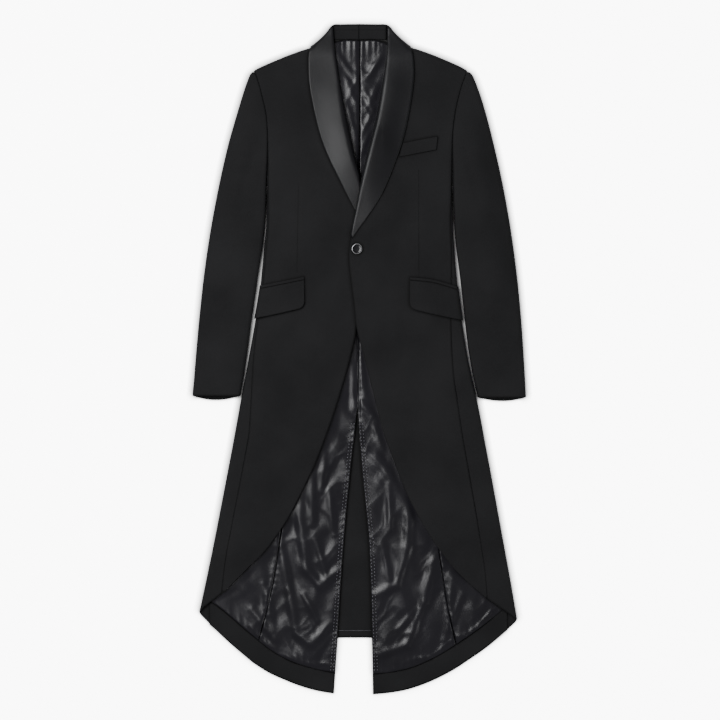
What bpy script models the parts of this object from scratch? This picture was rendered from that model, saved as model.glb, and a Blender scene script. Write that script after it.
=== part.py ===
"""A black long tailcoat laid flat, front up, on a floor at z = 0.

The coat's centre line runs along Y with the collar at +Y, and the wearer's left
side is at +X. Dimensions below are millimetres; objects are made in metres. Every
cloth panel is an open sheet through rows worked out from the tables, thickened
inward. In the tables, x is measured outward from the centre line on each side.
"""

import math
from collections import namedtuple

import bmesh
import bpy

# Driving dimensions, in millimetres.
WOOL = 2.0
SATIN = 1.6
LINING = 1.0
TRIM = 1.5
SEAM = 0.3
FOLD_RADIUS = 7.0
CORNER_RADIUS = 5.0
BODY_CROWN = 3.0
SLEEVE_CROWN = 3.0
ARMPIT_Y = 344.0
SHAWL_LIFT = SATIN + 0.7
OVERLAP_LIFT = WOOL + 0.7
LAPEL_LIFT = WOOL + SHAWL_LIFT + 0.8
FALL_LIFT = SATIN + 0.7
UNDERLAP_LIFT = TRIM + 0.5
NECK_DROP = 8.5
STAND_HEIGHT = 6.0
BUTTON_DIAMETER = 21.0
BUTTON_THICKNESS = 4.5
BUTTON_X = -4.0
BUTTON_Y = 220.0
METRE = 0.001

At = namedtuple("At", "y x")
Over = namedtuple("Over", "x y")

# Side fold of the body below the armpit.
BODY_EDGE = {
    "right": [At(344, 183.7), At(278, 184.8), At(236, 188.4), At(144, 197.2), At(75, 207.4),
              At(-24, 225.4), At(-80, 236.0), At(-133, 245.2), At(-213, 260.2),
              At(-293, 275.6), At(-373, 291.2), At(-453, 307.8), At(-506, 319.4)],
    "left": [At(344, 186.3), At(278, 187.2), At(236, 189.0), At(144, 197.2), At(75, 205.6),
             At(-24, 222.3), At(-80, 235.8), At(-133, 245.6), At(-213, 260.8),
             At(-293, 275.4), At(-373, 290.0), At(-453, 304.6), At(-520, 316.0)],
}
# Armhole seam, from the shoulder point to the armpit.
ARMHOLE = {
    "right": [At(574, 209.5), At(568, 206.0), At(515, 191.0), At(474, 183.2), At(423, 182.0),
              At(344, 184.0)],
    "left": [At(574, 215.5), At(568, 213.0), At(536, 201.8), At(490, 191.6), At(436, 186.0),
             At(344, 186.6)],
}
# Roll line of the lapel, then the front edge and the cutaway down to the side fold.
FRONT_EDGE = {
    "right": [At(666, 53.6), At(638, 51.8), At(569, 43.0), At(479, 29.0), At(385, 8.6),
              At(349, -3.0), At(300, -10.0), At(248, -15.0), At(218, -13.5), At(138, -7.0),
              At(60, 5.0), At(23, 13.0), At(-52, 33.0), At(-122, 55.4), At(-201, 84.8),
              At(-258, 110.8), At(-316, 141.4), At(-382, 187.4), At(-417, 223.0),
              At(-458, 260.0), At(-483, 297.0), At(-503, 318.6)],
    "left": [At(666, 58.4), At(638, 58.4), At(569, 52.6), At(484, 38.6), At(421, 23.2),
             At(349, 5.4), At(278, -8.6), At(246, -15.0), At(208, -20.0), At(142, -13.6),
             At(101, -8.6), At(62, -4.6), At(-2, 12.0), At(-102, 37.0), At(-157, 52.0),
             At(-197, 67.0), At(-267, 94.6), At(-337, 132.0), At(-409, 182.0),
             At(-467, 242.0), At(-517, 312.0)],
}
# Outer edge of the shawl lapel.
LAPEL_EDGE = {
    "right": [At(604, 102.0), At(569, 101.6), At(505, 92.6), At(428, 72.2), At(357, 39.2),
              At(301, 9.8), At(274, -5.0)],
    "left": [At(604, 108.6), At(572, 110.6), At(518, 104.8), At(452, 92.0), At(396, 74.0),
             At(330, 46.0), At(278, 12.6), At(250, -8.0)],
}
# Outline of the collar from the centre back to the lapel, and of the shoulder beyond it.
COLLAR_LINE = {
    "right": [Over(0, 670.0), Over(50, 669.0), Over(55.8, 665.4), Over(61.6, 657.4),
              Over(68.6, 649.4), Over(76.4, 641.4), Over(85.4, 633.4), Over(96.6, 625.4),
              Over(104, 622.0), Over(130, 612.0)],
    "left": [Over(0, 670.0), Over(54, 669.0), Over(61.2, 665.4), Over(67.2, 657.4),
             Over(74.6, 649.4), Over(83, 641.4), Over(92.2, 633.4), Over(102.4, 625.6),
             Over(110, 622.5), Over(130, 615.0)],
}
SHOULDER_LINE = {
    "right": [Over(50, 630.0), Over(80, 625.0), Over(96.6, 620.5), Over(113.4, 617.2),
              Over(134.6, 609.4), Over(154.6, 601.4), Over(174, 593.4), Over(192.2, 585.4),
              Over(207.6, 577.8), Over(214, 573.0), Over(225, 563.0)],
    "left": [Over(50, 630.0), Over(80, 627.0), Over(102.4, 622.5), Over(122.4, 617.4),
             Over(143, 609.4), Over(163.4, 601.4), Over(182.2, 593.4), Over(200.2, 585.4),
             Over(214, 577.8), Over(222, 572.5), Over(232, 561.0)],
}
# Outer and inner folds of the sleeves.
SLEEVE_OUTER = {
    "right": [At(574, 213.0), At(569, 217.4), At(557, 222.6), At(517, 235.8), At(477, 247.6),
              At(437, 259.2), At(357, 277.8), At(277, 293.4), At(197, 306.2), At(117, 315.8),
              At(37, 323.6), At(-43, 330.2), At(-85, 334.0)],
    "left": [At(574, 219.5), At(569, 225.6), At(557, 231.2), At(517, 245.8), At(477, 257.2),
             At(437, 267.4), At(357, 285.6), At(277, 300.4), At(197, 312.2), At(117, 321.0),
             At(37, 327.2), At(-43, 332.0), At(-85, 334.2)],
}
SLEEVE_INNER = {
    "right": [At(344, 184.3), At(278, 186.6), At(233, 191.2), At(159, 202.4), At(70, 215.2),
              At(-24, 228.6), At(-85, 239.4)],
    "left": [At(344, 186.9), At(261, 190.0), At(170, 200.6), At(78, 210.8), At(-12, 222.6),
             At(-85, 239.2)],
}
# How far the two side-body seams lie round the fold: on the top layer, and beneath.
SIDE_SEAM_TOP = {
    "right": [At(344, 2.2), At(300, 7.0), At(60, 9.0), At(-80, 24.0), At(-150, 32.0),
              At(-386, 33.0), At(-480, 41.0)],
    "left": [At(344, 2.2), At(300, 7.0), At(218, 9.0), At(68, 26.0), At(-80, 43.0),
             At(-136, 46.0), At(-406, 50.0), At(-490, 57.0)],
}
SIDE_SEAM_BACK = {
    "right": [At(344, 2.2), At(300, 42.0), At(208, 82.0), At(-80, 106.0), At(-350, 134.0),
              At(-480, 138.0), At(-560, 134.0)],
    "left": [At(344, 2.2), At(300, 42.0), At(208, 82.0), At(-80, 106.0), At(-350, 134.0),
             At(-480, 138.0), At(-560, 134.0)],
}
# Centre-back seam down to the vent, then the open edge of the vent.
BACK_EDGE = {
    "right": [At(640, -1.4), At(300, -0.4), At(40, 2.95), At(-100, 3.3), At(-122, 5.4),
              At(-237, 18.0), At(-372, 30.4), At(-522, 40.4), At(-670, 50.6)],
    "left": [At(640, 1.8), At(300, 0.8), At(40, -2.6), At(-100, -2.9), At(-122, -2.0),
             At(-237, 7.0), At(-372, 19.6), At(-562, 26.0), At(-672, 28.2)],
}
# Curved hem of the tails, and the inner edge of the hem facing.
HEM_LINE = {
    "right": [Over(40, -669.6), Over(51, -668.4), Over(75, -664.6), Over(120, -652.6),
              Over(150, -640.6), Over(177, -628.6), Over(197, -616.6), Over(215, -604.6),
              Over(230, -592.6), Over(257, -568.6), Over(284, -544.6), Over(298, -532.6),
              Over(309, -520.6), Over(320, -505.0)],
    "left": [Over(20, -670.4), Over(28, -670.0), Over(77.6, -664.6), Over(121, -652.6),
             Over(151, -640.6), Over(175, -628.6), Over(196, -616.6), Over(214, -604.6),
             Over(231, -592.6), Over(265, -568.6), Over(294, -544.6), Over(307, -532.6),
             Over(317, -519.0)],
}
FACING_LINE = {
    "right": [Over(40, -628.0), Over(54, -626.4), Over(118, -611.2), Over(167, -588.2),
              Over(220, -547.0), Over(266, -507.2), Over(292, -487.2), Over(310, -474.0)],
    "left": [Over(20, -630.0), Over(38, -629.2), Over(94, -620.2), Over(142, -601.6),
             Over(179, -580.6), Over(240, -539.4), Over(287, -501.0), Over(305, -486.0)],
}
# Upper and lower edges of the flaps from their inner ends, as outward x and y.
FLAPS = {
    "right": {"top": [Over(109.0, 158.5), Over(150, 150.0), Over(197, 141.0)],
              "bottom": [Over(109.0, 103.0), Over(150, 93.0), Over(207, 81.0)]},
    "left": {"top": [Over(101.4, 157.5), Over(140, 154.0), Over(196, 139.0)],
             "bottom": [Over(101.4, 101.0), Over(150, 89.0), Over(203, 78.0)]},
}
JET_HEIGHT = 6.0
FLAP_CORNER = 11.0
WELT = {"top": [Over(88.0, 431.2), Over(157.2, 444.6)],
        "bottom": [Over(80.0, 403.2), Over(154.6, 418.0)]}
Fold = namedtuple("Fold", "x1 y1 x2 y2 width height")
# Swags of the lining, as scene x and y of both ends, in the tails and in the neck.
FOLDS = [
    Fold(-123, -312, -96, -432, 15, 1.6), Fold(-96, -432, -44, -424, 13, 1.5),
    Fold(-150, -372, -128, -540, 16, 1.7), Fold(-122, -556, -56, -524, 15, 1.6),
    Fold(-76, -222, -60, -330, 14, 1.4), Fold(-200, -470, -160, -540, 14, 1.2),
    Fold(102, -286, 88, -420, 15, 1.6), Fold(88, -420, 36, -470, 14, 1.5),
    Fold(147, -404, 116, -522, 15, 1.6), Fold(116, -522, 46, -590, 15, 1.5),
    Fold(4, -90, 40, -130, 13, 1.4), Fold(36, -190, 82, -250, 16, 1.5),
    Fold(190, -440, 170, -540, 14, 1.2), Fold(-22, 560, -14, 470, 10, 1.2),
    Fold(18, 590, 30, 510, 11, 1.2), Fold(24, 500, 6, 430, 12, 1.4),
]

# Rows shared by the panels that meet at the armhole, and down the two side-body seams.
ARMHOLE_ROWS = (566.0, 548.0, 525.0, 495.0, 460.0, 425.0, 390.0, 362.0)
INNER_ROWS = (618.0, 596.0, 572.0, 538.0, 500.0, 455.0, 405.0, 368.0)
BACK_INNER_ROWS = (626.0, 604.0, 580.0, 540.0, 495.0, 450.0, 405.0, 368.0)
# Rows of the sleeves, the last one at the cuff's edge. A top sleeve is two solids that meet at
# the elbow, so that its collision shape stays hollow.
CUFF = -1000.0
SLEEVE_ROWS = (573.0, 570.5) + ARMHOLE_ROWS + (345.0, 330.0, 300.0, 240.0, 170.0, 90.0, 10.0,
                                               -45.0, CUFF)
ELBOW_Y = 130.0
# Rows down the fronts and the backs.
FRONT_ROWS = (318.0, 278.0, 262.0, 238.0, 208.0, 160.0, 110.0, 60.0, 10.0, -40.0, -95.0, -150.0,
              -205.0, -260.0, -310.0, -350.0, -385.0, -420.0)
BACK_ROWS = (318.0, 262.0, 200.0, 140.0, 80.0, 20.0, -40.0, -98.0, -124.0, -180.0, -245.0,
             -310.0, -380.0, -450.0)
TAIL_SHARES = (0.28, 0.56, 0.7, 0.85, 1.0)
STAND_END = {"right": 50.6, "left": 55.2}
FRONT_END = {"right": -459.5, "left": -474.5}
# Upper outer corners of the shawl, and how the front's first columns share a narrow row.
SHAWL_TOP = {"right": 97.5, "left": 103.5}
NARROW_SHARES = (0.0, 0.06, 0.14, 0.22, 0.3)
ROLL_ANGLES = (0.05, 0.13, 0.5, 0.95, 1.3)

SIGN = {"right": -1.0, "left": 1.0}
MATERIALS = {
    "black_wool": ((0.0160, 0.0160, 0.0170), 0.85, 0.0),
    "black_satin": ((0.0200, 0.0200, 0.0210), 0.38, 0.0),
    "charcoal_lining": ((0.0420, 0.0410, 0.0450), 0.30, 0.0),
    "silver_metal": ((0.62, 0.62, 0.64), 0.25, 1.0),
    "button_black": ((0.0120, 0.0120, 0.0130), 0.25, 0.0),
}


def smooth_value(rows, at):
    """Read a table of (station, value) rows with a smooth curve that never overshoots."""
    points = sorted((row[0], row[1]) for row in rows)
    count = len(points)
    if at <= points[0][0]:
        first, second = points[0], points[1]
        return first[1] + (second[1] - first[1]) / (second[0] - first[0]) * (at - first[0])
    if at >= points[-1][0]:
        first, second = points[-2], points[-1]
        return second[1] + (second[1] - first[1]) / (second[0] - first[0]) * (at - second[0])
    slopes = [(points[i + 1][1] - points[i][1]) / (points[i + 1][0] - points[i][0])
              for i in range(count - 1)]
    index = max(i for i in range(count - 1) if points[i][0] <= at)

    def tangent(i):
        if i == 0:
            return slopes[0]
        if i == count - 1:
            return slopes[-1]
        if slopes[i - 1] * slopes[i] <= 0.0:
            return 0.0
        return 2.0 * slopes[i - 1] * slopes[i] / (slopes[i - 1] + slopes[i])

    low, high = points[index], points[index + 1]
    step = high[0] - low[0]
    t = (at - low[0]) / step
    value = low[1] * (2 * t ** 3 - 3 * t ** 2 + 1)
    value += tangent(index) * step * (t ** 3 - 2 * t ** 2 + t)
    value += high[1] * (-2 * t ** 3 + 3 * t ** 2)
    value += tangent(index + 1) * step * (t ** 3 - t ** 2)
    return value


def mix(start, end, amount):
    """Blend two values."""
    return start + (end - start) * amount


def ease(value):
    """Rise smoothly from 0 to 1 as the value goes from 0 to 1."""
    value = min(max(value, 0.0), 1.0)
    return value * value * (3.0 - 2.0 * value)


def spread(count):
    """Return evenly spaced fractions from 0 to 1."""
    return [i / (count - 1) for i in range(count)]


def fold_radius(y):
    """Give the outer radius of the body's side fold."""
    return mix(FOLD_RADIUS, CORNER_RADIUS, ease((-300.0 - y) / 200.0))


def armhole_reach(y):
    """Give how far the body's fold would reach past the armhole seam."""
    return mix(-0.25, 3.5, ease((y - ARMPIT_Y) / 110.0))


def body_edge(side, y):
    """Give the outward x of the body's side fold, carried on inside the armhole above."""
    if y >= ARMPIT_Y:
        return smooth_value(ARMHOLE[side], y) + armhole_reach(y)
    return smooth_value(BODY_EDGE[side], y)


def wrap(side, y, distance):
    """Go round the side fold: a positive distance is on the top layer, a negative beneath."""
    radius = fold_radius(y)
    edge = body_edge(side, y)
    quarter = math.pi * radius / 2.0
    if abs(distance) <= quarter:
        angle = distance / radius
        return edge - radius + radius * math.cos(angle), radius + radius * math.sin(angle)
    x = edge - radius - (abs(distance) - quarter)
    return x, (2.0 * radius if distance > 0.0 else 0.0)


def wrap_distance(side, y, x):
    """Give the distance round the fold of a point on the top layer, inside the fold."""
    radius = fold_radius(y)
    return body_edge(side, y) - radius - x + math.pi * radius / 2.0


def seam_distance(y):
    """Give the distance round the fold where a body panel meets the armhole seam."""
    radius = fold_radius(y)
    reach = max(armhole_reach(y) + 0.17, 0.0)
    return max(2.35, radius * math.acos(1.0 - reach / radius))


def roll_share(outline, x, y, radius, start):
    """Give the share of the full height near a rolled outline, from 0 on it to 1 inside."""
    inside = (smooth_value(outline, x) - y) * 0.92
    part = 1.0 - min(max(inside / radius, 0.0), 1.0)
    share = math.sqrt(max(1.0 - part * part, 0.0))
    return mix(1.0, share, ease((x - start) / 12.0))


def neck_drop(y):
    """Lower the fronts and lapels towards the collar."""
    return NECK_DROP * ease((y - 600.0) / 66.0)


def crown(side, x, y):
    """Raise the middle of the body above its side folds."""
    inside = body_edge(side, y) - fold_radius(y) - x
    along = ease((y + 520.0) / 260.0)
    return BODY_CROWN * ease(inside / 70.0) * along


def overlap_rise(side, x, y):
    """Lift the wearer's left front over the right front and its lapel."""
    if side == "right":
        return 0.0
    near = ease((84.0 - x) / 66.0)
    along = ease((500.0 - y) / 90.0) * ease((y + 30.0) / 70.0)
    lapel = ease((500.0 - y) / 90.0) * ease((y - 238.0) / 24.0)
    return near * (OVERLAP_LIFT * along * (1.0 - lapel) + LAPEL_LIFT * lapel)


def front_height(side, x, y):
    """Give the height of the fronts' outer face away from their rolled edges."""
    base = 2.0 * fold_radius(y) + crown(side, x, y)
    return base + overlap_rise(side, x, y) - neck_drop(y)


def back_rise(x, y, margin=0.0):
    """Lift the back at scene x over the collar's fall and over the vent's underlap."""
    fall = ease((y - 572.0 + margin) / 20.0) * ease((162.0 + margin - abs(x)) / 24.0)
    across = ease((92.0 + margin - abs(x + 8.0)) / 20.0)
    along = ease((-96.0 + margin - y) / 24.0) * ease((y + 600.0 + margin) / 26.0)
    return FALL_LIFT * fall + UNDERLAP_LIFT * across * along


def place(side, point):
    """Turn outward x, y and z in millimetres into scene metres."""
    x, y, z = point
    return SIGN[side] * x * METRE, y * METRE, z * METRE


def front_point(side, x, y, extra=0.0):
    """Give a point on a front's outer face, raised by an extra height."""
    z = front_height(side, x, y)
    distance = wrap_distance(side, y, x)
    radius = fold_radius(y)
    if distance < math.pi * radius / 2.0:
        inside = max(body_edge(side, y) - x, 0.0)
        part = 1.0 - min(inside / radius, 1.0)
        z = radius + (z - radius) * math.sqrt(max(1.0 - part * part, 0.0))
    share = roll_share(SHOULDER_LINE[side], x, y, FOLD_RADIUS, 84.0)
    z = radius + (z - radius) * share
    return x, y, z + extra


def make_material(name):
    """Make a Principled material from its colour, roughness and metallic value."""
    colour, roughness, metallic = MATERIALS[name]
    material = bpy.data.materials.new(name)
    material.use_nodes = True
    shader = material.node_tree.nodes["Principled BSDF"]
    shader.inputs["Base Color"].default_value = (*colour, 1.0)
    shader.inputs["Roughness"].default_value = roughness
    shader.inputs["Metallic"].default_value = metallic
    material.diffuse_color = (*colour, 1.0)
    return material


def add_sheet(name, grid, thickness, material, collection, facing=1.0):
    """Make a panel from a grid of points and thicken it away from its outer face.

    The facing is 1 where the outer face of the grid's middle looks up and -1 where it
    looks down.
    """
    mesh = bpy.data.meshes.new(name)
    work = bmesh.new()
    verts = [[work.verts.new(point) for point in row] for row in grid]
    for above, below in zip(verts, verts[1:]):
        for i in range(len(above) - 1):
            work.faces.new((above[i], above[i + 1], below[i + 1], below[i]))
    work.normal_update()
    if sum(face.normal.z * face.calc_area() for face in work.faces) * facing < 0.0:
        bmesh.ops.reverse_faces(work, faces=work.faces[:])
    work.to_mesh(mesh)
    work.free()
    mesh.materials.append(material)
    panel = bpy.data.objects.new(name, mesh)
    collection.objects.link(panel)
    shell = panel.modifiers.new("Cloth thickness", "SOLIDIFY")
    shell.thickness = thickness * METRE
    shell.offset = -1.0
    mesh.shade_smooth()
    mesh.set_sharp_from_angle(angle=math.radians(40.0))
    return panel


def front_grid(side):
    """Work out the rows of a front, from the shoulder down to the cutaway."""
    stations = list(zip(INNER_ROWS, ARMHOLE_ROWS))
    stations += [(y, y) for y in FRONT_ROWS + (FRONT_END[side],)]
    steps = (0.0, 1.2, 4.5, 9.5, 15.5)
    inner = (0.12, 0.3, 0.48, 0.65, 0.8, 0.91, 1.0)
    rows = []
    for angle in ROLL_ANGLES:
        rows.append(("roll", FOLD_RADIUS * (1.0 - math.cos(angle)) / 0.92, angle))
    rows += [("row", station, None) for station in stations]
    grid = []
    for kind, value, angle in rows:
        y_in, y_out = stations[0] if kind == "roll" else value
        x_in = smooth_value(FRONT_EDGE[side], y_in) + 2.3 * ease((y_in - 246.0) / 20.0)
        line = []
        for j in range(len(steps) + len(inner)):
            share = j / (len(steps) + len(inner) - 1.0)
            y = mix(y_out, y_in, share)
            for _ in range(3):
                start = seam_distance(y) if y >= ARMPIT_Y else (
                    smooth_value(SIDE_SEAM_TOP[side], y) + 0.5)
                end = wrap_distance(side, y, x_in)
                if j < len(steps):
                    distance = start + min(steps[j], (end - start) * NARROW_SHARES[j])
                else:
                    begin = min(steps[-1], (end - start) * 0.4)
                    distance = mix(start + begin, end, inner[j - len(steps)])
                x = wrap(side, y, distance)[0]
                if kind == "roll":
                    y = smooth_value(SHOULDER_LINE[side], x) - value
                else:
                    base = smooth_value(SHOULDER_LINE[side], x) - FOLD_RADIUS / 0.92
                    flat = mix(stations[0][1], stations[0][0], share)
                    y = mix(y_out, y_in, share)
                    y += (base - flat) * ease((y_in - 455.0) / 163.0) * ease(share / 0.3)
            z = front_point(side, x, y)[2]
            if distance < math.pi * fold_radius(y) / 2.0:
                z = wrap(side, y, distance)[1]
                z = fold_radius(y) + (z - fold_radius(y)) * roll_share(
                    SHOULDER_LINE[side], x, y, FOLD_RADIUS, 84.0)
            line.append(place(side, (x, y, z)))
        grid.append(line)
    return grid


def back_top(side, x):
    """Give the upper edge of the back, along the neck and then the shoulder."""
    return mix(637.0, smooth_value(SHOULDER_LINE[side], x), ease((x - 44.0) / 16.0))


def back_seam(side, y, inset=0.15):
    """Give the outward x and the fold distance of the back's outer seam."""
    if y >= ARMPIT_Y:
        distance = seam_distance(y)
    else:
        distance = smooth_value(SIDE_SEAM_BACK[side], y) + inset
    return wrap(side, y, -distance)[0], distance


def back_grid(side):
    """Work out the rows of a back half, from the neck and shoulder down to the hem."""
    shares = (0.0, 0.16, 0.36, 0.58, 0.8, 0.93, 1.0)
    rows = [("roll", angle) for angle in ROLL_ANGLES]
    rows += [("row", station) for station in zip(BACK_INNER_ROWS, ARMHOLE_ROWS)]
    rows += [("row", (y, y)) for y in BACK_ROWS]
    rows += [("tail", share) for share in TAIL_SHARES]
    grid = []
    for kind, value in rows:
        line = []
        for share in shares:
            y_in, y_out = (626.0, 566.0) if kind == "roll" else (
                (-450.0, -450.0) if kind == "tail" else value)
            y = mix(y_in, y_out, share)
            for _ in range(6):
                x_in = smooth_value(BACK_EDGE[side], y)
                x_out, distance = back_seam(side, y)
                x = mix(x_in, x_out, share)
                top = back_top(side, x)
                if kind == "roll":
                    y = top - FOLD_RADIUS * (1.0 - math.cos(value)) / 0.92
                elif kind == "tail":
                    y = mix(-450.0, smooth_value(HEM_LINE[side], x), value)
                else:
                    y = mix(y_in, y_out, share)
                    y += (top - FOLD_RADIUS / 0.92 - mix(626.0, 566.0, share)) * ease(
                        (y_in - 440.0) / 186.0) * ease((1.0 - share) / 0.3)
            rise = back_rise(SIGN[side] * x, y)
            radius = fold_radius(y)
            z = rise
            if y >= ARMPIT_Y:
                past = wrap_distance(side, y, x)
                if past < math.pi * radius / 2.0:
                    past = max(past, distance)
                    z = wrap(side, y, -distance if share == 1.0 else -past)[1]
            roll = roll_share(SHOULDER_LINE[side], x, y, FOLD_RADIUS, 84.0)
            z = radius - (radius - z) * roll
            line.append(place(side, (x, y, z)))
        grid.append(line)
    return grid


def side_end(side, distance_at, start):
    """Find where a line round the fold meets the cutaway above or the hem beneath."""
    corner = BODY_EDGE[side][-1].y + 0.5
    if distance_at(corner) <= 0.0:
        y = corner
        for _ in range(12):
            y = mix(y, smooth_value(HEM_LINE[side], wrap(side, y, distance_at(y))[0]), 0.6)
        return min(y, corner)
    low, high = corner, start
    for _ in range(40):
        middle = (low + high) / 2.0
        x = wrap(side, middle, distance_at(middle))[0]
        if x > smooth_value(FRONT_EDGE[side], middle):
            high = middle
        else:
            low = middle
    return (low + high) / 2.0


def side_grid(side):
    """Work out the side-body panel, from its seam beneath, round the fold, to the front."""
    columns = [("under", share) for share in (1.0, 0.5)]
    columns += [("arc", share) for share in (-1.0, -0.6, -0.2, 0.2, 0.6, 1.0)]
    columns += [("over", share) for share in (0.85, 1.0)]

    def distance_for(kind, share):
        def distance_at(y):
            seam = SIDE_SEAM_BACK if kind == "under" or share < 0.0 else SIDE_SEAM_TOP
            whole = smooth_value(seam[side], y) - 0.15
            arc = min(math.pi * fold_radius(y) / 2.0, 0.7 * whole)
            if kind == "arc":
                return share * arc
            distance = arc + (whole - arc) * share
            return -distance if kind == "under" else distance
        return distance_at

    last = len(FRONT_ROWS)
    under_x = back_seam(side, -450.0, -0.15)[0]
    under = list(BACK_ROWS) + [mix(-450.0, smooth_value(HEM_LINE[side], under_x), share)
                               for share in TAIL_SHARES]
    over = list(FRONT_ROWS) + [FRONT_END[side]]
    grid = [[] for _ in range(last + 2)]
    for number, column in enumerate(columns):
        distance_at = distance_for(*column)
        end = side_end(side, distance_at, -380.0)
        across = number / (len(columns) - 1.0)
        shift = end - mix(under[-1], over[-1], across)
        seam = number in (0, len(columns) - 1)
        for row in range(last + 2):
            if row == 0:
                y = ARMPIT_Y - 0.4
            else:
                y = mix(under[row - 1], over[row - 1], across)
                part = max(row - 9.0, 0.0) / (last - 8.0)
                y += shift * (part * part if not seam else float(row == last + 1))
            distance = distance_at(y)
            x, z = wrap(side, y, distance)
            if column[0] == "over":
                z += crown(side, x, y)
            grid[row].append(place(side, (x, y, z)))
    return grid


def sleeve_section(side, y, angle, inner):
    """Give a point on the rolled edge of a sleeve at an angle from its outermost line."""
    if y >= ARMPIT_Y:
        hole = smooth_value(ARMHOLE[side], y) + 0.17
        edge_in = hole - armhole_reach(y)
    else:
        edge_in = smooth_value(SLEEVE_INNER[side], y)
        hole = edge_in
    edge_out = smooth_value(SLEEVE_OUTER[side], y)
    inside = (576.6 - y) * 0.92
    part = 1.0 - min(max(inside / FOLD_RADIUS, 0.0), 1.0)
    half = FOLD_RADIUS * math.sqrt(max(1.0 - part * part, 0.02))
    room = min(FOLD_RADIUS, 0.42 * (edge_out - hole))
    z = FOLD_RADIUS + half * math.sin(angle)
    if not inner:
        return edge_out - room + room * math.cos(angle), z
    x = edge_in + FOLD_RADIUS * (1.0 - math.cos(angle))
    if y >= ARMPIT_Y:
        return max(hole, min(x, hole + room)), z
    return x, z


def sleeve_grid(side, under, stations):
    """Work out the top sleeve over both rolled edges, or the under sleeve between them.

    The stations are places along the sleeve, where CUFF stands for the cuff's edge.
    """
    sense = -1.0 if under else 1.0
    past = math.radians(30.5) if under else math.radians(-25.0)
    cuff = {"right": (-73.5, -81.4), "left": (-76.5, -83.4)}[side]
    flat = (0.33, 0.67) if under else (0.25, 0.5, 0.75)
    arc = (0.0, 0.1, 0.45, 1.0) if under else (0.0, 0.08, 0.32, 0.65, 1.0)
    columns = [("inner", share) for share in arc] + [("flat", share) for share in flat]
    columns += [("outer", share) for share in reversed(arc)]
    grid = []
    for station in stations:
        line = []
        for number, (kind, share) in enumerate(columns):
            across = number / (len(columns) - 1.0)
            end = cuff[0]
            if under:
                end = mix(cuff[0], cuff[1], math.sin(math.pi * across) ** 0.6)
            y = end if station == CUFF else station
            seam = 0.3
            if y >= ARMPIT_Y:
                reach = max(armhole_reach(y), 0.0)
                seam = max(math.acos(1.0 - reach / FOLD_RADIUS), 0.3)
            first = past
            if kind == "inner":
                first = mix(seam, past, ease((348.0 - y) / 20.0))
            if kind == "flat":
                x_in = sleeve_section(side, y, math.pi / 2.0, True)[0]
                x_out = sleeve_section(side, y, math.pi / 2.0, False)[0]
                x, z = mix(x_in, x_out, share), sleeve_section(side, y, math.pi / 2.0, False)[1]
                z = FOLD_RADIUS + sense * (z - FOLD_RADIUS)
                if not under:
                    z += SLEEVE_CROWN * math.sin(math.pi * share) * ease((560.0 - y) / 120.0)
            else:
                angle = mix(first, math.pi / 2.0, share)
                x, z = sleeve_section(side, y, angle, kind == "inner")
                z = FOLD_RADIUS + sense * (z - FOLD_RADIUS)
            line.append(place(side, (x, y, z)))
        grid.append(line)
    return grid


def lapel_height(side, x, y):
    """Give the height of the lapel's outer face over the front, rolled at the collar."""
    z = front_height(side, x, y) + SHAWL_LIFT
    share = roll_share(COLLAR_LINE[side], x, y, 0.5 * z, 40.0)
    return z * (0.53 + 0.47 * share)


def shawl_grid(side):
    """Work out the rows of a lapel, from the collar down to its tip at the button."""
    rows = [(663.5, 56.5), (656.0, 63.0), (647.0, 71.0), (637.0, 80.0), (628.0, 89.0)]
    if side == "left":
        rows = [(663.5, 62.0), (656.0, 68.5), (647.0, 77.0), (637.0, 86.0), (628.0, 95.0)]
    collar_rows = len(rows)
    edge = LAPEL_EDGE[side]
    lowest = edge[-1].y
    stations = [617.0, 606.0, 594.0, 575.0, 545.0, 510.0, 472.0, 434.0, 396.0, 360.0, 328.0,
                302.0, 284.0, 270.0, 258.0, lowest]
    rows += [(min(y + 4.0, y * 0.98 + 12.0), None) for y in stations if y >= lowest]
    grid = []
    for index, (y_in, x_silhouette) in enumerate(rows):
        x_in = smooth_value(FRONT_EDGE[side], y_in)
        if x_silhouette is not None:
            x_out = x_silhouette
            y_out = smooth_value(COLLAR_LINE[side], x_out)
        else:
            y_out = [y for y in stations if y >= lowest][index - collar_rows]
            if y_out > 604.0:
                x_out = mix(edge[0].x, SHAWL_TOP[side], (y_out - 604.0) / 21.0)
            else:
                x_out = smooth_value(edge, y_out)
        length = math.hypot(x_out - x_in, y_out - y_in)
        tail = min(1.0, length / 24.0)
        places = [("drop", 2)] + [("drop", 1)] + [("at", 0.6 * tail)]
        places += [("share", share) for share in (0.25, 0.5, 0.75)]
        places += [("back", 5.6 * tail), ("back", 2.6 * tail), ("back", 0.8 * tail), ("back", 0.0)]
        line = []
        for kind, value in places:
            distance = {"drop": 0.0, "at": value, "back": length - value}.get(kind, 0.0)
            if kind == "share":
                distance = mix(0.6 * tail, length - 5.6 * tail, value)
            part = distance / length
            x, y = mix(x_in, x_out, part), mix(y_in, y_out, part)
            z = lapel_height(side, x, y)
            if kind == "drop":
                x -= {1: 1.5, 2: 2.1}[value]
                z -= {1: 1.3, 2: 3.9}[value]
            if kind == "at":
                z -= 0.2
            line.append(place(side, (x, y, z)))
        grid.append(line)
    return grid


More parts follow.
